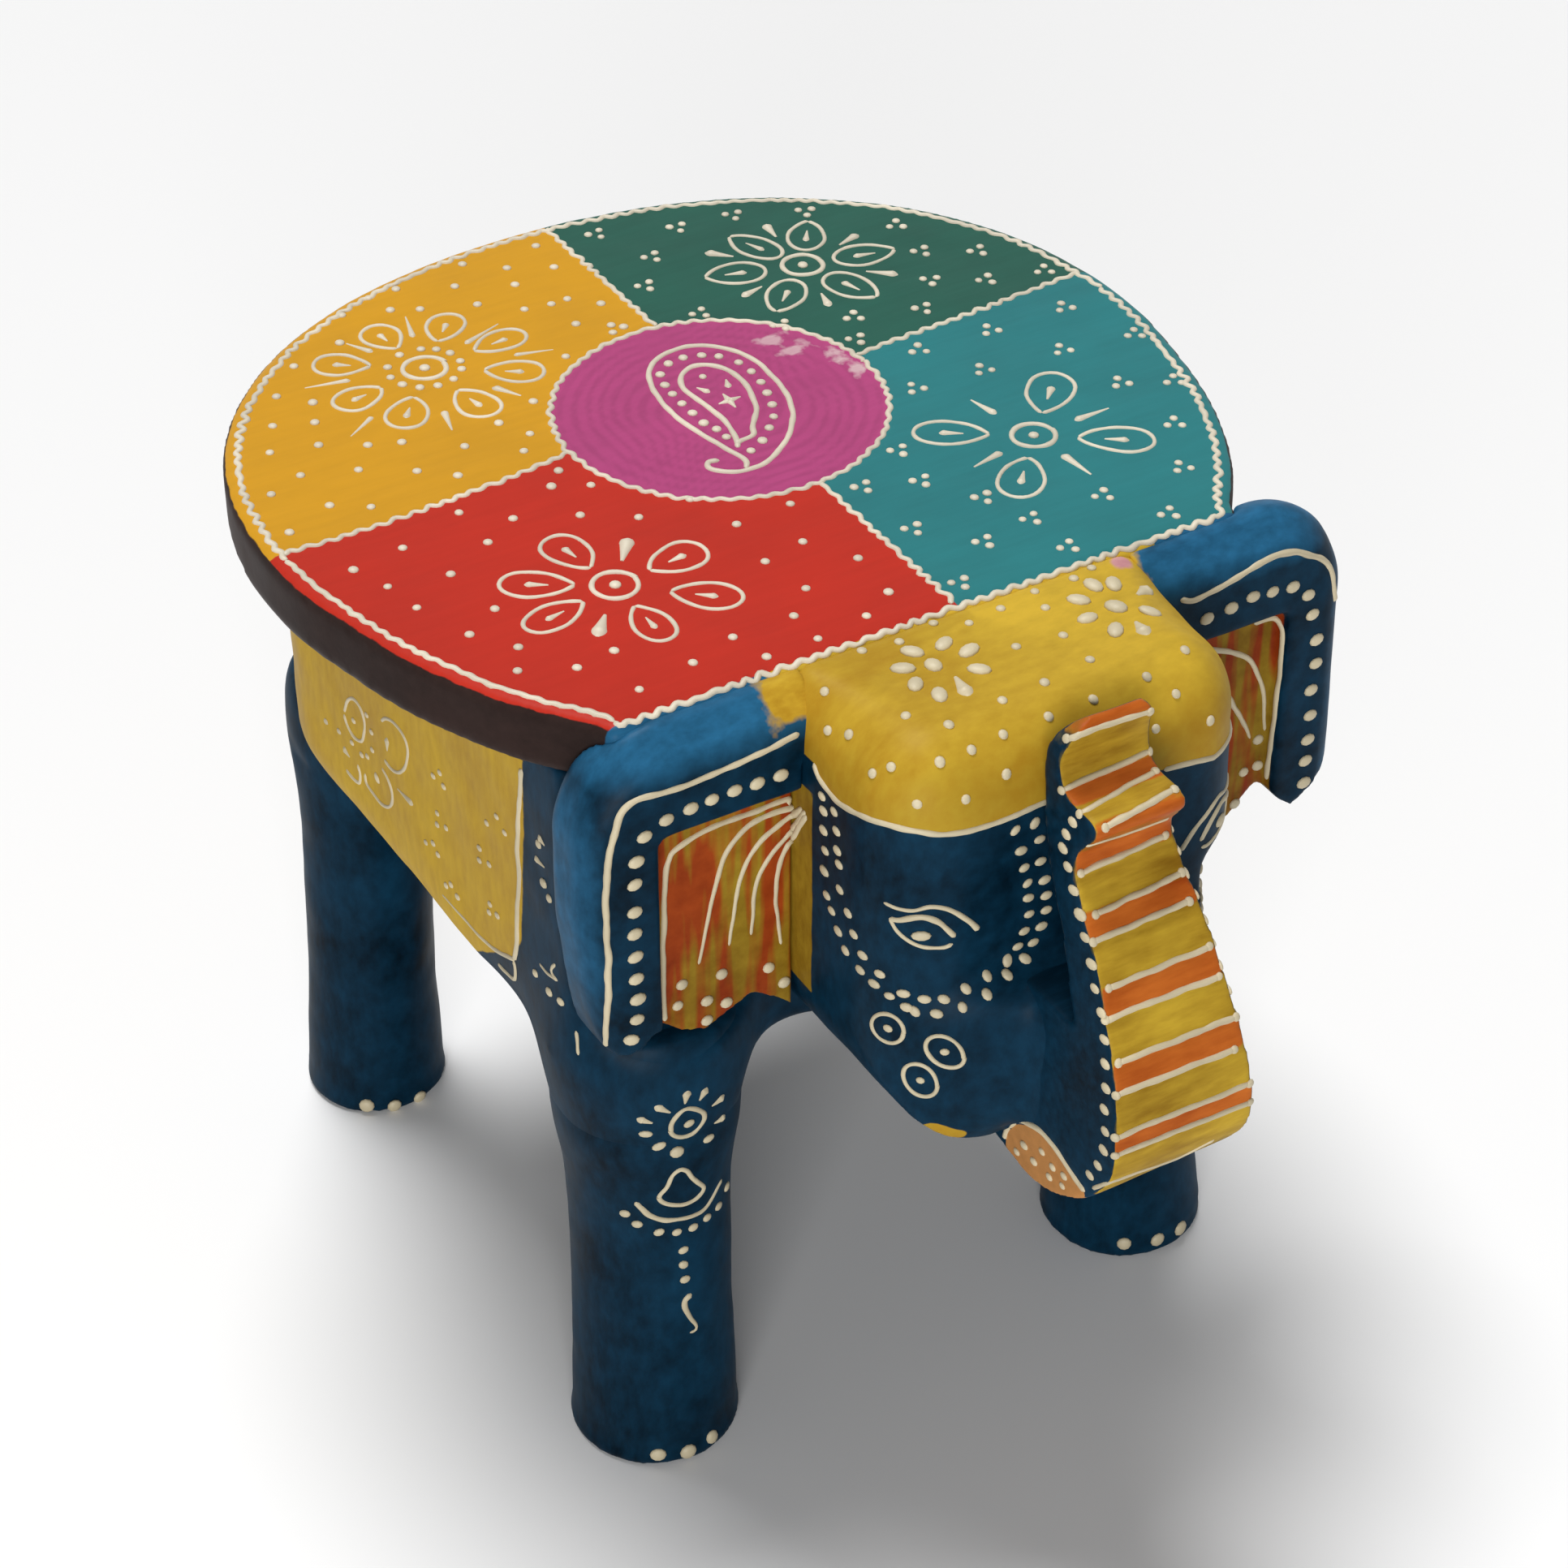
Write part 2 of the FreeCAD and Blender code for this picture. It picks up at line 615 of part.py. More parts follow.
EAR_DOWEL_LOW = ("(<belly_height> + <leg_housing> + %s + <ear_dowel_radius>"
                 " + <ear_dowel_clearance>)" % TENON_RISE)
EAR_DOWEL_Z = {"low": EAR_DOWEL_LOW, "high": "(%s + %s * (%s - %s))" % (
    EAR_DOWEL_LOW, EAR_DOWEL_SHARE, SEAT_UNDERSIDE, EAR_DOWEL_LOW)}
HEAD_DOWEL_Z = "%s - <head_dowel_drop>" % SEAT_UNDERSIDE
HEAD_SPOTS = [("<carve_shift> - <head_dowel_spread_x>", HEAD_DOWEL_Z),
              ("<carve_shift> + <head_dowel_spread_x>", HEAD_DOWEL_Z)]
EAR_SPOTS = {
    side_name: [("<carve_shift> + %d * (<head_half_width> + <ear_dowel_inset>)" % sign,
                 EAR_DOWEL_Z[level])
                for level in ("low", "high")]
    for side_name, sign in (("right", -1), ("left", 1))}
TRUNK_SPOTS = [("<carve_shift>", "<trunk_foot_height> + <trunk_dowel_%s>" % level)
               for level in ("low", "high")]
ALL_EAR_SPOTS = EAR_SPOTS["right"] + EAR_SPOTS["left"]

head_dowels = forward_pegs(
    "head_dowel_group", "<head_dowel_radius>", "%s + <head_dowel_into_torso>" % TORSO_FRONT_Y,
    "<head_dowel_into_torso> + <head_dowel_into_head> - <dowel_end_gap>", HEAD_SPOTS)
head_holes = forward_pegs(
    "head_hole_group", "<head_dowel_radius> + <dowel_gap>",
    "%s + <head_dowel_into_torso>" % TORSO_FRONT_Y,
    "<head_dowel_into_torso> + <head_dowel_into_head>", HEAD_SPOTS)
ear_dowels = forward_pegs(
    "ear_dowel_group", "<ear_dowel_radius>", "%s + <ear_dowel_into_torso>" % TORSO_FRONT_Y,
    "<ear_dowel_into_torso> + <ear_dowel_into_ear> - <dowel_end_gap>", ALL_EAR_SPOTS)
ear_holes = forward_pegs(
    "ear_hole_group", "<ear_dowel_radius> + <dowel_gap>",
    "%s + <ear_dowel_into_torso>" % TORSO_FRONT_Y,
    "<ear_dowel_into_torso> + <ear_dowel_into_ear>", ALL_EAR_SPOTS)
TRUNK_PEG_BACK = "%s + <trunk_housing> + <trunk_dowel_into_head>" % FACE_Y
trunk_dowels = forward_pegs(
    "trunk_dowel_group", "<trunk_dowel_radius>", TRUNK_PEG_BACK,
    "<trunk_dowel_into_head> + <trunk_dowel_into_trunk> - <dowel_end_gap>", TRUNK_SPOTS)
trunk_holes = forward_pegs(
    "trunk_hole_group", "<trunk_dowel_radius> + <dowel_gap>", TRUNK_PEG_BACK,
    "<trunk_dowel_into_head> + <trunk_dowel_into_trunk>", TRUNK_SPOTS)
keep(head_dowels, "head_dowels")
keep(ear_dowels, "ear_dowels")
keep(trunk_dowels, "trunk_dowels")

# The seat's own outline, a little larger, clears the rebate in the head and the ears
seat_tool, seat_tool_pad = seat_blank("seat_rebate_tool", size("seat_gap"), SEAT_UNDERSIDE,
                                      "2 * <seat_thickness>")

torso_tools = fuse("torso_hollows", leg_hollows + [seat_holes, head_holes, ear_holes])
keep(cut("torso", torso_body, torso_tools), "torso")
head_tools = fuse("head_hollows", [seat_tool, housing_body, head_holes, trunk_holes])
keep(cut("head", crown, head_tools), "head")
keep(cut("trunk", trunk_common, trunk_holes), "trunk")


# Ears
def ear_blank(name, sign, hem):
    """One ear as a flat plate with a notched hem, a sunk panel and a rounded rim."""
    body = new_body(name)
    outline = new_sketch(body, name + "_outline", "XZ_Plane")
    reach = "(%s - <head_half_width>)" % EAR_REACH
    corners = [("<carve_shift> + %d * (<head_half_width> + %g * %s)" % (sign, u, reach),
                "%s + %g * <ear_hem_depth>" % (HEM_Z, v)) for u, v in hem]
    corners.append(("<carve_shift> + %d * %s" % (sign, EAR_REACH), EAR_TOP))
    corners.append(("<carve_shift> + %d * <head_half_width>" % sign, EAR_TOP))
    add_polygon(outline, corners)
    bind(outline, "AttachmentOffset.Base.z", "-%s" % TORSO_FRONT_Y)
    doc.recompute()
    plate = pad(body, outline, name + "_pad", "<ear_thickness>")
    front = value("%s - <ear_thickness>" % TORSO_FRONT_Y)
    outer = value("<carve_shift> + %d * %s" % (sign, EAR_REACH))
    height = value(EAR_TOP)
    corner = edges_where(plate.Shape, lambda b: near(b.ZMin, height) and near(b.ZMax, height)
                         and near(b.XMin, outer) and near(b.XMax, outer))
    fillet(body, plate, name + "_corner", corner, "<ear_corner_round>")
    panel = new_sketch(body, name + "_panel", "XZ_Plane")
    inner = "<carve_shift> + %d * (<head_half_width> - <ear_panel_overlap>)" % sign
    outer_x = "<carve_shift> + %d * (%s - <ear_rim_width>)" % (sign, EAR_REACH)
    panel_top = "%s - <ear_panel_drop>" % EAR_TOP
    add_polygon(panel, [(inner, "<belly_height>"), (outer_x, "<belly_height>"),
                        (outer_x, panel_top), (inner, panel_top)])
    bind(panel, "AttachmentOffset.Base.z", "-(%s - <ear_thickness>)" % TORSO_FRONT_Y)
    doc.recompute()
    pocket(body, panel, name + "_recess", "<ear_panel_depth>")
    bend = height - size("ear_corner_round")

    def rule(start, end, box):
        if not near(box.YMin, box.YMax):
            return None
        on_top = near(box.ZMin, height)
        on_bend = near(box.ZMax, height) and near(box.ZMin, bend)
        on_side = near(box.ZMax, bend) and abs(box.Center.x - outer) < size("ear_panel_depth")
        if not (on_top or on_bend or on_side):
            return None
        if near(box.YMin, front):
            return size("ear_front_round"), size("ear_front_round")
        top_radius, side_radius = size("ear_back_top_round"), size("ear_back_side_round")
        if on_top:
            return top_radius, top_radius
        if on_side:
            return side_radius, side_radius
        return (top_radius, side_radius) if start.z > end.z else (side_radius, top_radius)

    return rolled(name + "_rim", body, rule)


for side_name, sign, hem in (("right", -1, RIGHT_HEM_SHARES), ("left", 1, LEFT_HEM_SHARES)):
    blank = ear_blank("ear_%s_blank" % side_name, sign, hem)
    tools = fuse("ear_%s_hollows" % side_name, [seat_tool, ear_holes])
    keep(cut("ear_" + side_name, blank, tools), "ear_" + side_name)

doc.recompute()
for thing in doc.Objects:
    if "Invalid" in thing.State or "Error" in thing.State:
        raise SystemExit("failed: %s %s" % (thing.Name, thing.State))
for piece in pieces:
    shape = piece.Shape
    if shape.isNull() or not shape.isValid() or not shape.Solids:
        raise SystemExit("bad shape: " + piece.Label)
for piece in pieces:
    piece.Shape.exportStep("parts/%s.step" % piece.Label)
    print(piece.Label, len(piece.Shape.Solids), round(piece.Shape.Volume))
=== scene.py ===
"""Looks of the carved elephant stool: hand-painted wood with raised cone-work.

The solids of the frame give every wooden piece its place. Each visible piece is a softened
copy of its solid, painted in coats, with beads and dots of thick paint laid on its surface.
Positions written as pixels belong to a 1932 pixel square picture seen by this scene's camera.
"""
import json
import math

import bmesh
import bpy
import numpy as np
from bpy.props import FloatProperty, FloatVectorProperty, PointerProperty
from mathutils import Matrix, Vector, noise
from mathutils.bvhtree import BVHTree

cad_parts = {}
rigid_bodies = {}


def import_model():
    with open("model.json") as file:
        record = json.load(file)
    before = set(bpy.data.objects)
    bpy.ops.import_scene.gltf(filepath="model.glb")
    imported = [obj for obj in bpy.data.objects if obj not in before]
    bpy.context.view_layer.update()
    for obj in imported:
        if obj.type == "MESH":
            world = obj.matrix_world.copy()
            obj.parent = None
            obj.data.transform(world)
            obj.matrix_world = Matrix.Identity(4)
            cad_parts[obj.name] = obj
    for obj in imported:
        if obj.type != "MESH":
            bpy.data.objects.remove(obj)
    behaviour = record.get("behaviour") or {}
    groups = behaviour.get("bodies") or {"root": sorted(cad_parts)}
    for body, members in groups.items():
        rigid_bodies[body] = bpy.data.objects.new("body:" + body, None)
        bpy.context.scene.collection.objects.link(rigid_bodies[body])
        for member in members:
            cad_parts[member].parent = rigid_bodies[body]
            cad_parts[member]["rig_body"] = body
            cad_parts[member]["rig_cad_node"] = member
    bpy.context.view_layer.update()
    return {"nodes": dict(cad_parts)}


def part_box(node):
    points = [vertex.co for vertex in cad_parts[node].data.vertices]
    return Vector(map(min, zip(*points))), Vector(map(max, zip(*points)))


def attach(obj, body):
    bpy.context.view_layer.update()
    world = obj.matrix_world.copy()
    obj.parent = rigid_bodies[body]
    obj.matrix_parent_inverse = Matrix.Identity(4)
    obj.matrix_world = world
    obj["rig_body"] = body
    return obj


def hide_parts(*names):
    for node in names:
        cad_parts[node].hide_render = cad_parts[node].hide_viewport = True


bl_info = {
    "name": "Carved Elephant Stool",
    "version": (1, 0, 0),
    "blender": (4, 5, 0),
    "location": "View3D > Sidebar > Stool",
    "description": "Paints a carved elephant stool and lays its raised cone-work",
    "category": "Object",
}

MM = 0.001
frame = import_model()

# Places taken from the solids
MIDDLE_X = (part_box("trunk")[0].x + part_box("trunk")[1].x) / 2
SEAT_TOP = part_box("seat_top")[1].z
CHORD_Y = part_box("seat_top")[0].y
FACE_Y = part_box("head")[0].y
EAR_FRONT_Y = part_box("ear_right")[0].y

# The camera that the pixel positions are read with
PICTURE = 1932
LENS = 89.34
SENSOR = 36.0
CAMERA_PLACE = Vector((-0.3377, -0.5562, 0.6245))
CAMERA_TURN = (Matrix.Rotation(math.radians(-30.85), 3, "Z")
               @ Matrix.Rotation(math.radians(90 - 37.22), 3, "X")
               @ Matrix.Rotation(math.radians(-0.08), 3, "Z"))
# How far the far side of the stool is from that camera
STOOL_AWAY = 0.98


def linear(code):
    """A paint colour written as sRGB hex, as Blender's linear RGBA."""
    channels = [int(code[i:i + 2], 16) / 255 for i in (1, 3, 5)]
    return tuple(c / 12.92 if c <= 0.04045 else ((c + 0.055) / 1.055) ** 2.4
                 for c in channels) + (1.0,)


def colour(name, about, code):
    return FloatVectorProperty(name=name, description=about, subtype="COLOR", size=4,
                               min=0, max=1, default=linear(code))


def length(name, about, default):
    return FloatProperty(name=name, description=about, subtype="DISTANCE", unit="LENGTH",
                         default=default * MM)


class StoolWood(bpy.types.PropertyGroup):
    """How the wood is carved and smoothed before it is painted."""
    seat_grain: length("Seat fineness", "Mesh size on the seat board", 1.35)
    block_grain: length("Block fineness", "Mesh size on the torso", 1.6)
    carving_grain: length("Carving fineness", "Mesh size on head, ears, trunk, legs", 0.95)
    unevenness: length("Unevenness", "How far the knife strays from the true shape", 0.35)


class StoolPaint(bpy.types.PropertyGroup):
    """Colours of the paints."""
    blue: colour("Body blue", "Deep blue of the body", "#082A3E")
    # The ears' top blue is a painted highlight: a lighter blue in place of the sheen on the ears'
    # rounded tops and outer sides
    sheen_blue: colour("Ear top blue", "Thin bright blue along the ears' tops", "#2A6A92")
    yellow: colour("Body yellow", "Yellow of the crown, trunk and flanks", "#CDA935")
    # Ochre is the yellows' darker tone; along the crown's low edge and sides, and in the trunk
    # front's dark edge, it is painted shade
    ochre: colour("Ochre shade", "Ochre that shades the yellow", "#A87A1C")
    orange: colour("Orange", "Orange of the trunk's bands and the ears' streaks", "#C8591C")
    seat_yellow: colour("Seat yellow", "Back right field of the seat", "#D59B25")
    seat_green: colour("Seat green", "Back left field of the seat", "#285B4E")
    seat_teal: colour("Seat teal", "Front left field of the seat", "#2D7B7F")
    seat_red: colour("Seat red", "Front right field of the seat", "#BE3123")
    magenta: colour("Magenta", "Disc in the seat's middle", "#B2487C")
    brown: colour("Edge brown", "Seat board's edge and underside", "#2F221F")
    peach: colour("Peach", "Half oval at the root of the trunk", "#C58A50")
    cream: colour("Cone cream", "Raised beads and dots on the seat", "#E6DBC4")
    old_cream: colour("Handled cream", "Raised beads and dots on the body", "#D8CAA8")


class StoolCone(bpy.types.PropertyGroup):
    """Widths of what is squeezed from the cone."""
    bead: length("Bead width", "Width of a raised line", 1.4)
    border: length("Border width", "Width of the wavy border lines", 1.4)
    fine: length("Fine width", "Width of the petals' outlines", 1.05)
    dot: length("Dot width", "Width of a small dot", 2.0)
    wave: length("Wave height", "How far a wavy line swings", 0.5)
    pitch: length("Wave pitch", "From one swing of a wavy line to the next", 3.7)


def wood():
    return bpy.context.scene.stool_wood


def paint(name):
    return tuple(getattr(bpy.context.scene.stool_paint, name))


def cone(name):
    return getattr(bpy.context.scene.stool_cone, name)


# Meshes

# Points of a solid nearer than this are one point
SAME_POINT = 1e-6
# A height above the whole stool
ABOVE_ALL = 1.0
# Widths of the knife's broad and fine cuts
BROAD_CUT = 22 * MM
FINE_CUT = 8 * MM


def smooth_step(low, high, values):
    """Rises from 0 to 1 between two values, or falls where the first is the higher."""
    share = np.clip((values - low) / (high - low), 0, 1)
    return share * share * (3 - 2 * share)


def only(piece):
    """Deselects everything else and makes one piece active."""
    bpy.ops.object.select_all(action="DESELECT")
    piece.select_set(True)
    bpy.context.view_layer.objects.active = piece


def apply_modifier(piece, name, kind, **settings):
    """Adds a modifier with its settings and applies it."""
    modifier = piece.modifiers.new(name, kind)
    for key, setting in settings.items():
        setattr(modifier, key, setting)
    only(piece)
    bpy.ops.object.modifier_apply(modifier=name)


def copy_of(node):
    """A new object with the mesh of one of the frame's solids."""
    only(frame["nodes"][node])
    bpy.ops.object.duplicate()
    return bpy.context.view_layer.objects.active


def edit_merged():
    """Enters edit mode with everything selected and the seams of the solid merged."""
    bpy.ops.object.mode_set(mode="EDIT")
    bpy.ops.mesh.select_all(action="SELECT")
    bpy.ops.mesh.remove_doubles(threshold=SAME_POINT)


def core_of(node, low, high=ABOVE_ALL, shrink=0.4 * MM):
    """A slightly shrunken copy of a solid between two heights, to be run onto by filler."""
    core = copy_of(node)
    edit_merged()
    for height, cleared in ((low, "clear_inner"), (high, "clear_outer")):
        bpy.ops.mesh.bisect(plane_co=(0, 0, height), plane_no=(0, 0, 1), use_fill=True,
                            **{cleared: True})
        bpy.ops.mesh.select_all(action="SELECT")
    bpy.ops.transform.shrink_fatten(value=-shrink)
    bpy.ops.object.mode_set(mode="OBJECT")
    return core


def sweep(piece, weights, passes):
    """Smooths a piece by weights from 0 to 1, which fills its inner corners."""
    group = piece.vertex_groups.new(name="sweep")
    for index in np.nonzero(weights > 0.01)[0]:
        group.add([int(index)], float(weights[index]), "REPLACE")
    apply_modifier(piece, "sweep", "SMOOTH", factor=0.5, iterations=passes, vertex_group="sweep")


def sand(piece, passes):
    """Softens the edges all over."""
    apply_modifier(piece, "sanding", "SMOOTH", factor=0.5, iterations=passes)


def carved_copy(node, name, grain, uneven, passes, joined=(), cut=0.0):
    """A softened copy of a solid, with the slight unevenness that a hand tool leaves.

    Solids in joined are added from the height of the cut up, as filler that runs onto them.
    """
    added = [core_of(other, cut) for other in joined]
    piece = copy_of(node)
    if joined:
        for other in added:
            other.select_set(True)
        bpy.ops.object.join()
    piece.name = name
    piece.data.name = name
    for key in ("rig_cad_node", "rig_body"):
        if key in piece:
            del piece[key]
    edit_merged()
    bpy.ops.object.mode_set(mode="OBJECT")
    apply_modifier(piece, "shell", "REMESH", mode="VOXEL", voxel_size=grain, adaptivity=0)
    sand(piece, passes)
    stray = wood().unevenness * uneven
    mesh = piece.data
    places = points_of(mesh)
    shift = np.array([noise.noise(Vector(p) / BROAD_CUT) + 0.5 * noise.noise(Vector(p) / FINE_CUT)
                      for p in places]) * stray
    set_points(mesh, places + vectors_of(mesh, "normal") * shift[:, None])
    bpy.ops.object.shade_smooth()
    piece.data.materials.clear()
    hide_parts(node)
    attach(piece, "root")
    return piece


def vectors_of(mesh, kind):
    """The places ("co") or normals ("normal") of a mesh, one row for each vertex."""
    found = np.empty(len(mesh.vertices) * 3)
    mesh.vertices.foreach_get(kind, found)
    return found.reshape(-1, 3)


def points_of(mesh):
    return vectors_of(mesh, "co")


def set_points(mesh, places):
    mesh.vertices.foreach_set("co", np.asarray(places, np.float32).ravel())
    mesh.update()


def surface_of(*parts):
    """A tree that finds places on the parts' meshes."""
    grid = bmesh.new()
    for part in parts:
        grid.from_mesh(part.data)
    tree = BVHTree.FromBMesh(grid)
    grid.free()
    return tree


# A reach that is well outside a coat
FAR_OFF = -9.0


def mark(piece, name, reach):
    """Keeps how far inside a coat of paint each point lies, in millimetres."""
    layer = piece.data.attributes.new(name, "FLOAT", "POINT")
    layer.data.foreach_set("value", np.asarray(reach, np.float32))


def least(*reaches):
    """How far inside all of several edges each point lies."""
    return np.minimum.reduce(reaches)


def from_line(places, a, b):
    """How far places lie from the line from a to b, and how far along it, as a share."""
    share = np.clip((places - a) @ (b - a) / np.sum((b - a) ** 2), 0, 1)
    return np.linalg.norm(places - a - share[:, None] * (b - a), axis=1), share


# Where things are

# Rays onto the seat start this far above it, and onto a mirrored skin this far outside
ABOVE_SEAT = 50 * MM
OUTSIDE = 5 * MM


def seen(spot):
    """The camera's ray through a pixel of the picture."""
    reach = LENS / SENSOR * PICTURE
    across = (spot[0] - PICTURE / 2) / reach
    upward = (PICTURE / 2 - spot[1]) / reach
    return CAMERA_PLACE, (CAMERA_TURN @ Vector((across, upward, -1))).normalized()


def cast(surface, spot):
    """Place and normal where the pixel's ray meets a surface."""
    start, way = seen(spot)
    place, normal, _, _ = surface.ray_cast(start, way)
    if place is None:
        place, normal, _, _ = surface.find_nearest(start + way * STOOL_AWAY)
    return place, normal


def from_above(surface, x, y):
    """Place and normal on the seat, or level with it beside the board."""
    start = Vector((x, y, SEAT_TOP + ABOVE_SEAT))
    place, normal, _, _ = surface.ray_cast(start, Vector((0, 0, -1)))
    return (place, normal) if place else (Vector((x, y, SEAT_TOP)), Vector((0, 0, 1)))


def mirrored(surface, path, sum_x=2 * MIDDLE_X, back=0.0):
    """The same path on the other side of the elephant, set on the outer skin there."""
    found = []
    for place, _ in path:
        twin = Vector((sum_x - place.x, place.y + back, place.z))
        spot, normal, _, _ = surface.find_nearest(twin)
        outer, facing, _, _ = surface.ray_cast(spot + normal * OUTSIDE, -normal)
        found.append((outer, facing) if outer else (spot, normal))
    return found


def heading(degrees):
    """The direction of an angle, as a flat vector of length 1."""
    turn = math.radians(degrees)
    return Vector((math.cos(turn), math.sin(turn)))


def rounded(pairs, closed=False):
    """A smooth run through given points, in eight steps from each to the next."""
    points = [Vector((a, b, 0)) for a, b in pairs]
    count, steps = len(points), 8
    if count < 3:
        return points
    run = []
    for i in range(count if closed else count - 1):
        if closed:
            a, b, c, d = (points[(i + k) % count] for k in (-1, 0, 1, 2))
        else:
            b, c = points[i], points[i + 1]
            a = points[i - 1] if i else b + (b - c)
            d = points[i + 2] if i + 2 < count else c + (c - b)
        for step in range(steps):
            t = step / steps
            run.append(0.5 * (2 * b + (c - a) * t + (2 * a - 5 * b + 4 * c - d) * t * t
                              + (3 * b - a - 3 * c + d) * t ** 3))
    run.append(points[0].copy() if closed else points[-1])
    return run


# A squeezed line is unsteady: how far it wanders and over what length, and the same for a
# wavy line's pace and swing, and for the pressure
BEAD_STEP = 0.5 * MM
WANDER, WANDER_LENGTH = 0.3 * MM, 5 * MM
PACE, PACE_LENGTH = 2.4, 9 * MM
SWING, SWING_LENGTH = 0.9, 13 * MM
LEAST_SWING = 0.75
PRESSURE, PRESSURE_LENGTH = 0.22, 2.6 * MM
# Each line starts this far on in the noise that makes it unsteady
NEXT_LINE = 17.3
# How far a bead, a drop and a dot sit into the wood, as shares of their radius and width
BEAD_SUNK = 0.3
DROP_SUNK = 0.45
DOT_RAISED = 0.02
# A dab shorter than its width is a dot of this width and length
SHORT_DAB = (0.85, 1.45)


class ConeWork:
    """Thick paint squeezed from a cone onto one surface: beads, drops and dots."""

    def __init__(self, name, surface):
        self.name = name
        self.surface = surface
        self.lines = bpy.data.curves.new(name, "CURVE")
        self.lines.dimensions = "3D"
        self.lines.bevel_depth = 1.0
        self.lines.bevel_resolution = 2
        self.lines.use_fill_caps = True
        self.dots = []
        self.turn = 0.0

    def unsteady(self, s, length, channel):
        """Noise along this line, from -1 to 1, that changes over the given length."""
        return noise.noise(Vector((s / length, self.turn, channel)))

    def lay(self, places):
        """One line of the curve, through places with their radius."""
        spline = self.lines.splines.new("POLY")
        spline.points.add(len(places) - 1)
        for point, (place, radius) in zip(spline.points, places):
            point.co = (place.x, place.y, place.z, 1)
            point.radius = radius
        spline.use_smooth = True

    def bead(self, path, width, wave=0.0, ends=(1.0, 1.0), closed=False):
        """A raised line along (place, normal) pairs, with a hand's uneven pressure."""
        places = [p for p, _ in path]
        normals = [n for _, n in path]
        reach = [0.0]
        for a, b in zip(places, places[1:]):
            reach.append(reach[-1] + (b - a).length)
        total = reach[-1]
        if total < 1e-5:
            return
        self.turn += NEXT_LINE
        count = max(6, int(total / BEAD_STEP))
        pitch = cone("pitch")
        spots, i = [], 0
        for step in range(count + 1):
            s = total * step / count
            while i < len(reach) - 2 and reach[i + 1] < s:
                i += 1
            span = max(reach[i + 1] - reach[i], 1e-9)
            t = (s - reach[i]) / span
            place = places[i].lerp(places[i + 1], t)
            normal = normals[i].lerp(normals[i + 1], t).normalized()
            along = (places[i + 1] - places[i]).normalized()
            across = along.cross(normal)
            place = place + across * (self.unsteady(s, WANDER_LENGTH, 7) * WANDER)
            if wave:
                pace = PACE * self.unsteady(s, PACE_LENGTH, 0)
                swing = math.sin(2 * math.pi * s / pitch + pace)
                strength = LEAST_SWING + SWING * self.unsteady(s, SWING_LENGTH, 11)
                place = place + across * (wave * swing * strength)
            pressure = 1 + PRESSURE * self.unsteady(s, PRESSURE_LENGTH, 3)
            pressure *= ends[0] + (ends[1] - ends[0]) * s / total
            if not closed:
                # an open line has round ends
                tip = min(s, total - s) / (0.5 * width)
                pressure *= math.sqrt(max(0.12, 1 - (1 - min(1.0, tip)) ** 2))
            radius = 0.5 * width * pressure
            spots.append((place - normal * radius * BEAD_SUNK, radius))
        self.lay(spots)

    def dot(self, place, normal, width, stretch=1.0, along=None):
        """A flattened drop, which may be longer one way."""
        self.dots.append((place, normal, width, stretch, along))

    def drop(self, blunt, sharp, width):
        """A dab drawn out to a tail, from its round end to its sharp one."""
        # the head is a round cap over a quarter of a width more, the tail thins to a fifth
        blunt = blunt + (blunt - sharp).normalized() * width * 0.25
        head = min(0.45, 0.6 * width / (blunt - sharp).length)
        turns = [math.radians(12 + 13 * i) for i in range(7)]
        profile = [(head * (1 - math.cos(t)), math.sin(t)) for t in turns]
        profile += [(head + (1 - head) * i / 8, 1 - 0.78 * (i / 8) ** 0.85) for i in range(1, 9)]
        spots = []
        for share, swell in profile:
            place, normal, _, _ = self.surface.find_nearest(blunt.lerp(sharp, share))
            radius = 0.5 * width * swell
            spots.append((place - normal * radius * DROP_SUNK, radius))
        self.lay(spots)

    def spots(self, pixels, width, stretch=1.0, other_side=None):
        """Dots at pixels of the picture, and their mirror images where a mirror is given."""
        marks = [cast(self.surface, pixel) for pixel in pixels]
        if other_side:
            marks += other_side(self.surface, marks)
        for place, normal in marks:
            self.dot(place, normal, width, stretch)

    def trail(self, pixels, width, other_side=None, closed=False, **how):
        """A raised line through pixels of the picture, and its mirror image."""
        path = [cast(self.surface, p) for p in rounded(pixels, closed)]
        for way in [path] + ([other_side(self.surface, path)] if other_side else []):
            self.bead(way, width, closed=closed, **how)

    def dabs(self, pairs, width, other_side=None):
        """Drops given by pixels of their round and sharp ends."""
        for blunt, sharp in pairs:
            ends = [cast(self.surface, blunt), cast(self.surface, sharp)]
            for (a, normal), (b, _) in [ends] + ([other_side(self.surface, ends)]
                                                 if other_side else []):
                if (b - a).length < width:
                    self.dot((a + b) / 2, normal, width * SHORT_DAB[0], SHORT_DAB[1], b - a)
                else:
                    self.drop(a, b, width)

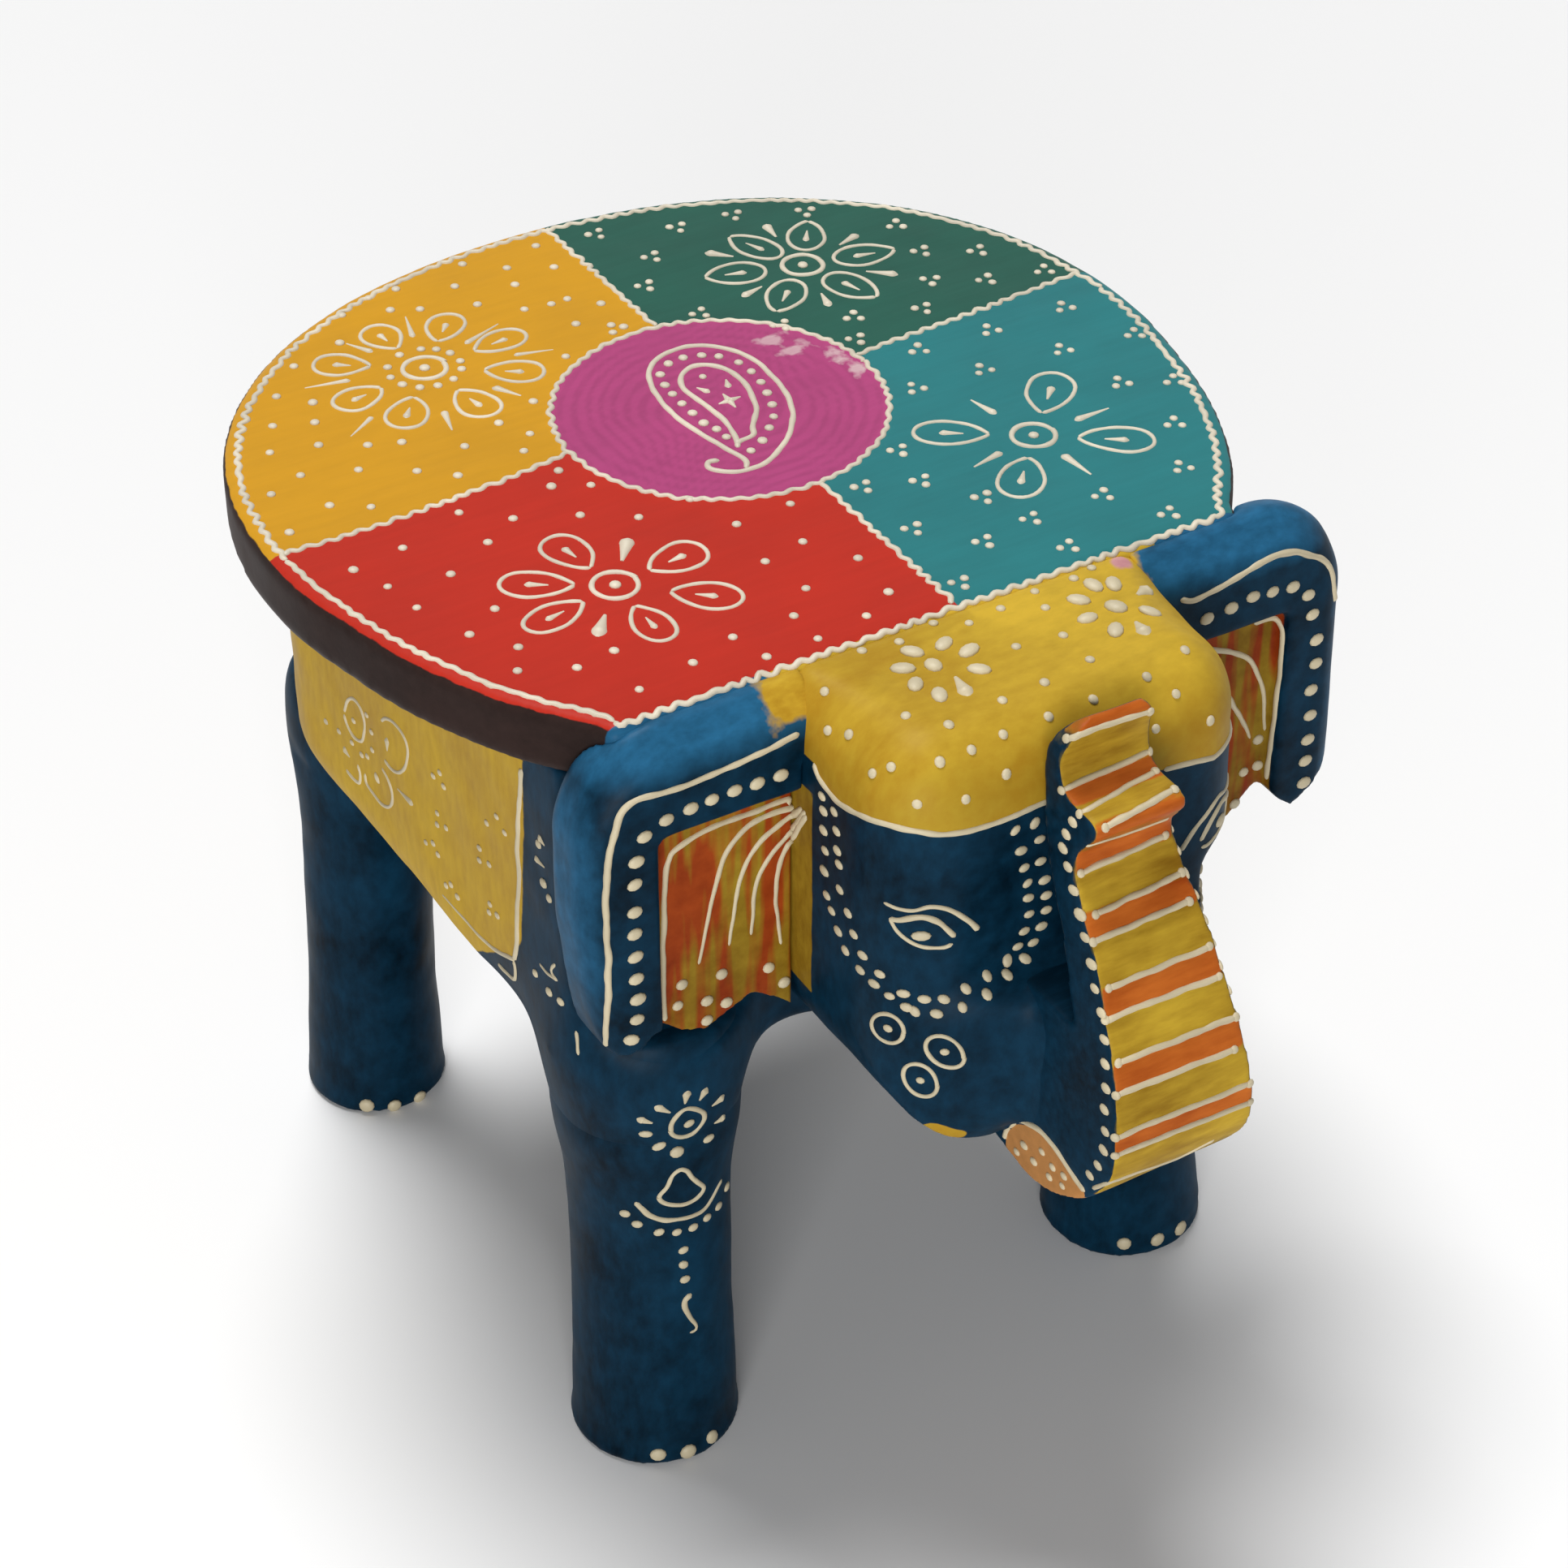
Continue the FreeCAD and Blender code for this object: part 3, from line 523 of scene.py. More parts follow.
    def settle(self, tint="old_cream"):
        """Turns the curves into one mesh with the dots and lays it on the stool."""
        piece = bpy.data.objects.new(self.name, self.lines)
        bpy.context.scene.collection.objects.link(piece)
        only(piece)
        bpy.ops.object.convert(target="MESH")
        piece = bpy.context.view_layer.objects.active
        bpy.ops.mesh.primitive_uv_sphere_add(segments=10, ring_count=6, radius=0.5)
        seed = bpy.context.view_layer.objects.active
        grid = bmesh.new()
        grid.from_mesh(piece.data)
        for number, (place, normal, width, stretch, along) in enumerate(self.dots):
            jitter = Vector((number * 1.7, 5.1, 0.3))
            size = width * (1 + 0.16 * noise.noise(jitter))
            toward = along or Vector((noise.noise(jitter * 2), 1, 0))
            side = toward.cross(normal)
            side = side.normalized() if side.length > 1e-6 else Vector((1, 0, 0))
            toward = normal.cross(side)
            basis = Matrix((side, toward, normal)).transposed().to_4x4()
            basis.translation = place + normal * size * DOT_RAISED
            long = size * stretch * (1.06 + 0.1 * noise.noise(jitter * 3))
            scale = Matrix.Diagonal((size, long, size * 0.5, 1))
            first = len(grid.verts)
            grid.from_mesh(seed.data)
            grid.verts.ensure_lookup_table()
            bmesh.ops.transform(grid, matrix=basis @ scale, verts=grid.verts[first:])
        grid.to_mesh(piece.data)
        grid.free()
        bpy.data.objects.remove(seed)
        only(piece)
        bpy.ops.object.shade_smooth()
        piece.data.materials.clear()
        piece.data.materials.append(cone_paint(tint))
        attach(piece, "root")


# Materials

# How high the lumps of cone paint and the brush's ridges stand
BUMP_HEIGHT = 0.3 * MM


def add_node(tree, kind, settings=None, inputs=None):
    """Adds a node, sets its own settings, and sets or links its inputs."""
    node = tree.nodes.new(kind)
    for key, setting in (settings or {}).items():
        setattr(node, key, setting)
    for socket, given in (inputs or {}).items():
        if isinstance(given, bpy.types.NodeSocket):
            tree.links.new(given, node.inputs[socket])
        else:
            node.inputs[socket].default_value = given
    return node


def new_material(name):
    """A material with an empty node tree."""
    material = bpy.data.materials.new(name)
    material.use_nodes = True
    material.node_tree.nodes.clear()
    return material


def cone_paint(tint):
    """Chalk-thickened cream paint, squeezed wet: matt, a little lumpy, duller in broad random
    patches.
    """
    name = "cone paint, " + tint.replace("_", " ")
    if name in bpy.data.materials:
        return bpy.data.materials[name]
    material = new_material(name)
    tree = material.node_tree
    place = add_node(tree, "ShaderNodeTexCoord").outputs["Object"]
    lumps = add_node(tree, "ShaderNodeTexNoise", {}, {
        "Vector": place, "Scale": 700.0, "Detail": 3.0}).outputs["Fac"]
    drift = add_node(tree, "ShaderNodeTexNoise", {}, {
        "Vector": place, "Scale": 60.0, "Detail": 2.0}).outputs["Fac"]
    cream = paint(tint)
    dull = tuple(c * 0.78 for c in cream[:3]) + (1.0,)
    shade = add_node(tree, "ShaderNodeMapRange", {}, {
        "Value": drift, "From Min": 0.35, "From Max": 0.7}).outputs["Result"]
    mixed = add_node(tree, "ShaderNodeMix", {"data_type": "RGBA"}, {
        0: shade, 6: dull, 7: cream}).outputs[2]
    bump = add_node(tree, "ShaderNodeBump", {}, {
        "Strength": 0.35, "Distance": BUMP_HEIGHT, "Height": lumps}).outputs["Normal"]
    shader = add_node(tree, "ShaderNodeBsdfPrincipled", {}, {
        "Base Color": mixed, "Roughness": 0.5, "Normal": bump})
    add_node(tree, "ShaderNodeOutputMaterial", {}, {"Surface": shader.outputs["BSDF"]})
    return material


def painted_wood(name, ground, coats, along):
    """Brushed enamel over carved wood.

    The brush leaves fine streaks about half a millimetre apart, drawn a little coarser so
    that they show, over clouds 20 to 30 mm wide where the coat is thicker. A coat is
    (mark, tones, softness, stray, upright): it covers the last where the mark on the mesh is
    above zero, fades over the softness and strays by the last length, all in millimetres.
    """
    material = new_material(name)
    tree = material.node_tree
    place = add_node(tree, "ShaderNodeTexCoord").outputs["Object"]
    drawn = add_node(tree, "ShaderNodeMapping", {}, {
        "Vector": place, "Scale": along}).outputs["Vector"]
    brush = add_node(tree, "ShaderNodeTexNoise", {}, {
        "Vector": drawn, "Scale": 460.0, "Detail": 4.0, "Roughness": 0.6}).outputs["Fac"]
    cloud = add_node(tree, "ShaderNodeTexNoise", {}, {
        "Vector": place, "Scale": 34.0, "Detail": 4.0, "Roughness": 0.55}).outputs["Fac"]
    hand = add_node(tree, "ShaderNodeTexNoise", {}, {
        "Vector": place, "Scale": 240.0, "Detail": 3.0}).outputs["Fac"]
    upward = add_node(tree, "ShaderNodeMapping", {}, {
        "Vector": place, "Scale": (1.0, 1.0, 0.1)}).outputs["Vector"]
    upright = add_node(tree, "ShaderNodeTexNoise", {}, {
        "Vector": upward, "Scale": 230.0, "Detail": 2.0}).outputs["Fac"]
    brushed = add_node(tree, "ShaderNodeMath", {"operation": "MULTIPLY"}, {
        0: brush, 1: 0.5}).outputs[0]
    depth = add_node(tree, "ShaderNodeMath", {"operation": "MULTIPLY_ADD"}, {
        0: cloud, 1: 0.8, 2: brushed}).outputs[0]
    tone = add_node(tree, "ShaderNodeMapRange", {}, {
        "Value": depth, "From Min": 0.44, "From Max": 0.84}).outputs["Result"]
    shown = add_node(tree, "ShaderNodeMix", {"data_type": "RGBA"}, {
        0: tone, 6: ground[0], 7: ground[1]}).outputs[2]
    for mark_name, pair, softness, stray, is_upright in coats:
        reach = add_node(tree, "ShaderNodeAttribute", {"attribute_name": mark_name}).outputs["Fac"]
        centred = add_node(tree, "ShaderNodeMath", {"operation": "SUBTRACT"}, {
            0: upright if is_upright else hand, 1: 0.5}).outputs[0]
        strayed = add_node(tree, "ShaderNodeMath", {"operation": "MULTIPLY_ADD"}, {
            0: centred, 1: stray * 2, 2: reach}).outputs[0]
        cover = add_node(tree, "ShaderNodeMapRange", {}, {
            "Value": strayed, "From Min": -softness / 2,
            "From Max": softness / 2}).outputs["Result"]
        layer = add_node(tree, "ShaderNodeMix", {"data_type": "RGBA"}, {
            0: tone, 6: pair[0], 7: pair[1]}).outputs[2]
        shown = add_node(tree, "ShaderNodeMix", {"data_type": "RGBA"}, {
            0: cover, 6: shown, 7: layer}).outputs[2]
    bump = add_node(tree, "ShaderNodeBump", {}, {
        "Strength": 0.22, "Distance": BUMP_HEIGHT, "Height": depth}).outputs["Normal"]
    dulled = add_node(tree, "ShaderNodeMapRange", {}, {
        "Value": cloud, "From Min": 0.3, "From Max": 0.7,
        "To Min": 0.33, "To Max": 0.5}).outputs["Result"]
    shader = add_node(tree, "ShaderNodeBsdfPrincipled", {}, {
        "Base Color": shown, "Roughness": dulled, "Normal": bump, "Specular IOR Level": 0.06})
    add_node(tree, "ShaderNodeOutputMaterial", {}, {"Surface": shader.outputs["BSDF"]})
    return material


def tones(name, darker=0.78, lighter=1.12):
    """A paint's own darker and lighter tones."""
    base = paint(name)
    return (tuple(min(1, c * darker) for c in base[:3]) + (1.0,),
            tuple(min(1, c * lighter) for c in base[:3]) + (1.0,))


def coat(mark_name, pair, softness=0.25, stray=0.3, upright=False):
    """A coat for painted_wood. The one with no softness given has a clean brushed edge."""
    return mark_name, pair, softness, stray, upright


def body_blue():
    """The body's blue: nearly black where it is thick, brighter where the brush thinned it."""
    return tones("blue", 0.28, 1.6)


# The seat board

# Positions on the seat are read in millimetres from the carved head's own middle line and
# from a cross line 41.7 mm behind the board's chord middle
SEAT_ORIGIN = Vector((6.8, 41.7))
DISC = ((-3.9, -2.2), 35.0)
BACK_LINE_X = 0.6
FRONT_LINE_X = -1.0
RIGHT_FIELD_LINE = [(-39, -1.6), (-52, -3.6), (-64, -4.6), (-78, -5.4), (-92, -5.8), (-104.6, -5.2)]
LEFT_FIELD_LINE = [(31, 1), (45, 2.2), (60, 3), (75, 4.4), (91, 5.6)]


def on_seat(x, y):
    """A place on the seat's top, from millimetres on the seat."""
    return Vector(((x + SEAT_ORIGIN.x) * MM, (y + SEAT_ORIGIN.y) * MM, SEAT_TOP))


# A flower is its middle, its petals as (direction in degrees, distance, length, width),
# its dabs as (direction, distance of the round end, distance of the tail, width)
SEAT_FLOWERS = [
    ((-49.2, 43.0), 4.6, -1,
     [(97, 15.9, 11, 8.6), (49, 17, 11.5, 8.6), (5, 18.5, 12.5, 8.4), (-35, 18.9, 12.5, 8.8),
      (-81, 17.9, 12.5, 9), (-128, 17.6, 12, 9), (-168, 17.3, 11.5, 8.6), (145, 17.5, 12, 8.8)],
     [(74, 13.6, 22.2, 1.7), (21, 13, 23.2, 1.7), (-15, 19.4, 27.6, 1.5), (-59, 17, 23.6, 2.2),
      (-104, 18, 25.6, 2.0), (-147, 21.5, 29.8, 1.5), (167, 16.2, 25.6, 1.7),
      (119, 13.6, 20, 1.8)]),
    ((-53.9, -48.0), 4.5, -1,
     [(99, 14.5, 13.5, 9.2), (7, 14.8, 13, 9.8), (-42, 18.0, 14, 9.2), (-91.5, 14.7, 13.2, 8),
      (192, 15.2, 14, 8.3), (149, 15.2, 14.5, 9)],
     [(52, 15.6, 8.2, 3.8), (230, 17.0, 10.2, 3.8)]),
    ((41.0, 39.2), 4.4, 1,
     [(111.5, 13.3, 14, 8), (55.4, 13.2, 13, 8.4), (-12, 14.3, 14, 8.8), (-72, 13.8, 14, 9),
      (223, 13.7, 13.5, 8.6), (163, 15.1, 13.5, 9)],
     [(84, 19.4, 13.8, 2.8), (17, 17.8, 12, 2.6), (-42, 20.6, 14, 2.6), (-103, 18, 12.8, 2.4),
      (195, 18.4, 12.8, 2.4), (135, 21.6, 15.6, 2.8)]),
    ((45.5, -44.5), 4.5, -1,
     [(147, 16.8, 15.5, 9.4), (45, 16.9, 16, 10.4), (-37, 16.9, 15.5, 9.6), (228, 16.2, 15, 9.8)],
     [(101, 11.4, 18.4, 2.2), (193, 9.8, 17.6, 2.2), (2, 10.8, 19, 2.2), (-85, 9.6, 18.4, 2.4)]),
]

YELLOW_DOTS = [
    (-54.6, 71.6), (-46.4, 75.4), (-39.7, 75.7), (-22.5, 77.8), (-5, 76.6), (-15, 71.2),
    (-28.3, 70.1), (-44.7, 68.3), (-39, 65.5), (-16.8, 64), (-6, 66.3), (-27.6, 60.8),
    (-60, 61.4), (-72.4, 57.7), (-80.6, 48.7), (-75.2, 42.6), (-86.2, 38.5), (-78.2, 35.3),
    (-20, 53.6), (-14, 52.6), (-10, 52.8), (-4.7, 47.4), (-13.4, 42.6), (-7.2, 38.3),
    (-8.4, 35.4), (-5.3, 36.3), (-21.6, 32), (-91, 29.5), (-81.3, 27), (-72.7, 21.9),
    (-66.2, 19.5), (-89.3, 18.6), (-97.3, 15.3), (-78.4, 14.5), (-56, 11.4), (-46, 15.6),
    (-36, 19.4), (-42.5, 8.6), (-68.5, 8), (-89, 5.8), (-46.6, 3.5), (-62.2, 2.3),
    (-82.2, 1), (-100, 1)]
# Dots round the yellow field's flower: their distance from its middle and their directions
YELLOW_RING = 7.8
YELLOW_RING_DOTS = [106, 69, 45, 20, -10, -34, -66, -96, -124, -153, 178, 147]
RED_DOTS = [
    (-44, -6.5), (-68.2, -9.9), (-48, -10.9), (-83.3, -15.3), (-41, -14.6), (-95, -17.4),
    (-60, -17.3), (-68.2, -22.3), (-48, -23), (-91.8, -25.9), (-79.5, -28.5), (-38.5, -29.7),
    (-26.5, -29.2), (-90.2, -35.2), (-23.2, -41.9), (-10.3, -41), (-77.6, -43.3),
    (-85.7, -48.5), (-15.2, -53.9), (-25, -56), (-79.7, -56.9), (-83.4, -63.6), (-8.9, -64.3),
    (-23, -68), (-64.8, -67.3), (-73.4, -68.5), (-43.4, -75), (-29.8, -74.8), (-54, -78.3),
    (-10, -77.2), (-66.7, -80.4), (-17.9, -81.9), (-29.8, -83.6), (-41.2, -83.8)]
# Groups of three: the middle, and the way the odd one out points
THREE_REACH = 1.75
GREEN_THREES = [
    (9, 74.6, -80), (25.8, 67.8, -95), (39.2, 66.3, -100), (54, 59.5, -110), (14.5, 59.2, -80),
    (7.2, 49, -85), (11.5, 32.9, -70), (23.9, 19.7, -85), (39, 14.8, -60), (34.6, 6.5, -90),
    (53.4, 9.9, -90), (61.4, 19.3, -110), (66.6, 31.2, -85), (68, 43.8, -60), (77.3, 25, -80),
    (72, 13.5, -75), (85, 10.3, -60)]
TEAL_THREES = [
    (43.5, -4, 65), (61, -4.9, 85), (79.7, -5.3, 80), (34.6, -16.8, 90), (50.8, -17.7, 85),
    (69.4, -19.7, 80), (86.3, -22, 60), (18.7, -35.4, -90), (5.4, -43, -85), (16.6, -47.2, -90),
    (72.4, -36.9, 80), (82.4, -41.8, 60), (72.8, -55.5, 60), (5.9, -61, -90), (23.8, -58.8, -90),
    (15.4, -72, -85), (27.8, -70, 40), (44.8, -70.3, -70), (64.4, -70, 80), (3.6, -81.6, -90),
    (28.5, -82, -70), (52.3, -82.4, -70)]

PAISLEY_OUTER = [
    (-14.3, -19.8), (-16.7, -19.4), (-17.5, -21.5), (-15.5, -24.2), (-12, -25.8), (-6.7, -25.4),
    (-2, -22.6), (2.5, -19), (6.3, -14.2), (9.3, -8.5), (10.9, -3), (11.6, 3), (11.4, 11),
    (9.3, 16.3), (6.3, 20), (2.5, 22), (-1.5, 22.2), (-4.7, 21.5), (-8, 19.6), (-10.6, 15.9),
    (-12.4, 10.3), (-13.4, 4), (-13.5, -2.5), (-12.4, -10), (-11.2, -16), (-10.1, -19.8),
    (-9.9, -23), (-11.2, -25.2)]
PAISLEY_INNER = [
    (-8.6, -17.6), (-7.5, -16), (-3.7, -15), (-2, -12.3), (2.5, -6.3), (4.4, -0.3), (5.2, 4.5),
    (4.8, 9), (2.6, 13), (-0.5, 14.6), (-3, 14), (-5.3, 11.6), (-6.7, 7.3), (-6.2, 0.5),
    (-5.7, -7), (-6.7, -12.3), (-8.2, -16.6)]
PAISLEY_DOTS = [
    (-0.8, 18.6), (-4.6, 18.2), (-8.2, 15.3), (-9.4, 11.2), (-9.8, 7.3), (-10, 3), (-10, -1.4),
    (-10, -6), (-8.9, -9.4), (-8.7, -13), (-7, -20), (-3, -17.8), (0.7, -14.3), (3.7, -11),
    (5.8, -6.9), (7.2, -2.5), (8.3, 1.9), (8.7, 6.5), (8.2, 10.9), (5.9, 15.2), (3, 17.4)]
PAISLEY_DABS = [
    ((-3.0, 4.2), (-4.2, 7)), ((1.6, 3.8), (2.6, 6.6)), ((-1, -1), (-3.6, -1)),
    ((-1, -1), (1.8, -0.8)), ((-1, -1), (-0.8, 2)), ((-1, -1), (-1.2, -4))]
PAISLEY_EYE = (-1, 10)

# Where the seat is worn to a pale scuff: middle, and half its width and depth
SEAT_SCUFFS = [(22, 9.5, 5.5, 3.4), (26.5, 3.5, 3.2, 5), (28, -4, 3, 3.6), (18.5, 15.5, 5, 3)]
# The border runs this far in from the rim, and from the straight front edge
RIM_STEPS = 240
RIM_INSET, FRONT_INSET = 3.2 * MM, 1.7 * MM
# The beads on the two short field lines: where they start, their points and the step
SHORT_LINES = [(BACK_LINE_X, 33, 6.2), (FRONT_LINE_X, -37.2, -6.2)]
# Half the width of the crown, which meets the board's front edge between the ears
CROWN_HALF = 44
# How far filler runs from the board's front edge up against the crown and the ears
EDGE_FILLER = 1.5 * MM
# The disc's brush strokes keep this far inside it
STROKES_INSET = 1.5
# The brown edge starts this far below the top, and is twice as sharp as other coats
BROWN_DROP, BROWN_SHARP = 0.75, 2.0
# Only the inner part of a scuff is worn through
SCUFF_INSET = 1.8
PAISLEY_DAB = 1.9 * MM


def seat_rim(surface, height):
    """Points of the board's rim, going round, with how it faces."""
    middle = on_seat(*DISC[0])
    start = Vector((middle.x, middle.y, height))
    rim = []
    for step in range(RIM_STEPS):
        way = heading(360 * step / RIM_STEPS).to_3d()
        place, normal, _, _ = surface.ray_cast(start, way)
        if place is None:
            # the start lies inside the wood, so the rim is met from outside
            place, normal, _, _ = surface.ray_cast(start + way * 0.3, -way)
        rim.append((place, normal))
    return rim


def flower(work, middle, ring, tip, petals, dabs, on):
    """Ring, outlined petals and dabs. Petals point their tip in (-1) or out (1)."""
    middle = Vector(middle)
    circle = [on(*(middle + heading(15 * step) * ring)) for step in range(25)]
    work.bead(circle, cone("fine") * 1.25, closed=True)
    place, normal = on(*middle)
    work.dot(place, normal, cone("dot") * 1.2)
    # a petal is a teardrop: full at one end, drawn to a point at the other
    pinch, swell = (0.55, 1.12) if tip < 0 else (0.35, 1.08)
    seed_ends = (0.14, -0.16) if tip < 0 else (-0.16, 0.18)
    for degrees, reach, tall, wide in petals:
        out = heading(degrees)
        side = Vector((-out.y, out.x))
        centre = middle + out * reach
        outline = []
        for step in range(29):
            t = 2 * math.pi * step / 28
            u = math.cos(t) * 0.5 * tip
            v = math.sin(t) * 0.5 * abs(math.sin(t / 2)) ** pinch
            outline.append(on(*(centre + out * u * tall + side * v * wide * swell)))
        work.bead(outline, cone("fine"))
        blunt, sharp = (on(*(centre + out * share * tall))[0] for share in seed_ends)
        work.drop(blunt, sharp, 0.22 * wide * MM)
    for degrees, blunt_reach, sharp_reach, wide in dabs:
        blunt, sharp = (on(*(middle + heading(degrees) * reach))[0]
                        for reach in (blunt_reach, sharp_reach))
        work.drop(blunt, sharp, wide * MM)


class STOOL_OT_seat(bpy.types.Operator):
    """Paint the seat board and lay its border, flowers, paisley and dots"""
    bl_idname = "stool.seat"
    bl_label = "Seat board"

    def execute(self, context):
        piece = carved_copy("seat_top", "seat_board", wood().seat_grain, 0.5, 2)
        places = points_of(piece.data)
        # filler closes the joint along the chord, up against the ears and the crown
        places[:, 1] -= EDGE_FILLER * smooth_step(4, 1, (places[:, 1] - CHORD_Y) / MM)
        set_points(piece.data, places)
        places = places / MM
        x = places[:, 0] - SEAT_ORIGIN.x
        y = places[:, 1] - SEAT_ORIGIN.y
        z = places[:, 2]
        level = np.interp(x, *zip(*sorted(RIGHT_FIELD_LINE + LEFT_FIELD_LINE)))
        middle = np.where(y > 0, BACK_LINE_X, FRONT_LINE_X)
        right, back = middle - x, y - level
        mark(piece, "red", least(right, -back))
        mark(piece, "yellow", least(right, back))
        mark(piece, "green", least(-right, back))
        reach = np.hypot(x - DISC[0][0], y - DISC[0][1])
        around = np.arctan2(y - DISC[0][1], x - DISC[0][0])
        mark(piece, "magenta", DISC[1] - reach)
        # the brush went round and round on the disc
        strokes = np.sin(reach * 2.1 + 1.3 * np.sin(around * 2 + reach * 0.3)) - 0.2
        mark(piece, "strokes", least(strokes, DISC[1] - STROKES_INSET - reach))
        worn = np.full(len(x), FAR_OFF)
        for spot in SEAT_SCUFFS:
            off = np.hypot((x - spot[0]) / spot[2], (y - spot[1]) / spot[3])
            worn = np.maximum(worn, (1 - off) * min(spot[2], spot[3]))
        mark(piece, "scuffs", worn - SCUFF_INSET)
        mark(piece, "brown", (SEAT_TOP / MM - BROWN_DROP - z) * BROWN_SHARP)
        front = CHORD_Y / MM + 0.5 - places[:, 1]
        beside = np.abs(places[:, 0] - MIDDLE_X / MM) - CROWN_HALF
        # the strip of the board's edge against the ears takes their painted highlight blue
        mark(piece, "meets_ears", least(front, beside))
        mark(piece, "meets_crown", least(front, -beside))
        piece.data.materials.append(painted_wood(
            "brushed enamel on the seat board", tones("seat_teal", 0.9, 1.07),
            [coat("red", tones("seat_red", 0.92, 1.06)),
             coat("yellow", tones("seat_yellow", 0.93, 1.05)),
             coat("green", tones("seat_green", 0.88, 1.08)),
             coat("magenta", tones("magenta", 0.94, 1.08)),
             coat("strokes", tones("magenta", 0.82, 0.94), 1.2, 1.0),
             coat("scuffs", (linear("#C2829A"), linear("#D9B9BC")), 1.5, 5),
             coat("brown", tones("brown", 0.7, 1.25), 0.3, 0.5),
             coat("meets_ears", tones("sheen_blue", 0.5, 1.15)),
             coat("meets_crown", tones("yellow"))], along=(0.12, 1.0, 1.0)))
        surface = surface_of(piece)

        def on(px, py):
            spot = on_seat(px, py)
            return from_above(surface, spot.x, spot.y)

        work = ConeWork("seat_cone_work", surface)
        border = []
        for place, normal in seat_rim(surface, SEAT_TOP - 5 * MM):
            inset = FRONT_INSET if normal.y < -0.93 else RIM_INSET
            spot = place - Vector((normal.x, normal.y, 0)).normalized() * inset
            border.append(from_above(surface, spot.x, spot.y))
        border.append(border[0])
        wave, wide = cone("wave"), cone("border")
        # the line runs calmer along the red field's rim
        calm = next(i for i, (p, _) in enumerate(border) if p.x < 0 and p.y < on_seat(0, -5).y)
        corner = next(i for i, (p, _) in enumerate(border[calm:], calm) if p.y < CHORD_Y + 2 * MM)
        for run, share in ((border[:calm + 1], 1), (border[calm:corner + 1], 0.4),
                           (border[corner:], 1)):
            work.bead(run, wide, wave * share)
        middle, reach = Vector(DISC[0]), DISC[1]
        circle = [on(*(middle + heading(a) * reach)) for a in range(0, 365, 5)]
        work.bead(circle, wide * 0.95, wave * 0.8, closed=True)
        for line in (RIGHT_FIELD_LINE, LEFT_FIELD_LINE):
            work.bead([on(p.x, p.y) for p in rounded(line)], wide * 0.95, wave)
        for line_x, first, step in SHORT_LINES:
            work.bead([on(line_x, first + step * i) for i in range(9)], wide * 0.95, wave)
        for drawing in SEAT_FLOWERS:
            flower(work, *drawing, on)
        small = cone("dot")
        for degrees in YELLOW_RING_DOTS:
            spot = Vector(SEAT_FLOWERS[0][0]) + heading(degrees) * YELLOW_RING
            work.dot(*on(*spot), small)
        for spot in YELLOW_DOTS + RED_DOTS:
            work.dot(*on(*spot), small)
        for px, py, degrees in GREEN_THREES + TEAL_THREES:
            for turn in (0, 120, 240):
                spot = Vector((px, py)) + heading(degrees + turn) * THREE_REACH
                work.dot(*on(*spot), small * 0.9)
        for outline in (PAISLEY_OUTER, PAISLEY_INNER):
            work.bead([on(p.x, p.y) for p in rounded(outline)], cone("fine") * 1.35)
        for spot in PAISLEY_DOTS:
            work.dot(*on(*spot), small * 1.05)
        work.dot(*on(*PAISLEY_EYE), small * 0.9)
        for blunt, sharp in PAISLEY_DABS:
            work.drop(on(*blunt)[0], on(*sharp)[0], PAISLEY_DAB)
        work.settle("cream")
        return {"FINISHED"}


# The head

# The lower edge of the yellow crown, from the right ear round to the left
CROWN_EDGE = [(1003, 940), (1012, 962), (1035, 991), (1068, 1008), (1105, 1019), (1140, 1026),
              (1168, 1028), (1205, 1022), (1244, 1008), (1280, 992), (1296, 985)]
CROWN_EDGE_LEFT = [(1434, 948), (1452, 944), (1472, 939), (1495, 933)]
CROWN_DABS = [
    ((1370, 715), (1374, 725)), ((1342, 718), (1352, 725)), ((1320, 738), (1338, 741)),
    ((1331, 765), (1349, 759)), ((1374, 783), (1375, 770)), ((1412, 780), (1399, 766)),
    ((1428, 757), (1406, 751)), ((1416, 727), (1401, 733)),
    ((1167, 789), (1159, 798)), ((1201, 797), (1187, 807)), ((1215, 826), (1198, 824)),
    ((1192, 855), (1177, 834)), ((1159, 862), (1156, 851)), ((1127, 850), (1129, 837)),
    ((1105, 824), (1120, 824)), ((1117, 802), (1131, 805))]
CROWN_DAB = 3.8 * MM
CROWN_MIDDLES = [(1375, 748), (1150, 820)]
CROWN_MIDDLE = 3.6 * MM
CROWN_DOTS = [
    (1233, 750), (1288, 749), (1194, 768), (1150, 768), (1108, 791), (1252, 797), (1310, 783),
    (1343, 813), (1287, 841), (1235, 863), (1347, 862), (1292, 883), (1116, 882), (1169, 893),
    (1236, 905), (1197, 924), (1158, 939), (1098, 945), (1240, 954), (1130, 991), (1190, 985),
    (1016, 852), (1456, 758), (1460, 801), (1413, 834), (1449, 855), (1491, 888), (1424, 898),
    (1275, 729), (1323, 713), (1062, 802), (1046, 905), (1075, 953), (1020, 900), (1345, 700)]
BROW = [(1089, 1112), (1106, 1119), (1125, 1122), (1146, 1117), (1167, 1121), (1190, 1131),
        (1205, 1146)]
UPPER_LID = [(1096, 1131), (1110, 1134), (1136, 1130), (1153, 1134), (1167, 1144), (1177, 1154)]
LOWER_LID = [(1096, 1131), (1104, 1146), (1119, 1159), (1140, 1167), (1161, 1168), (1174, 1163)]
PUPIL = (1135, 1153)
PUPIL_WIDTH = 2.4 * MM
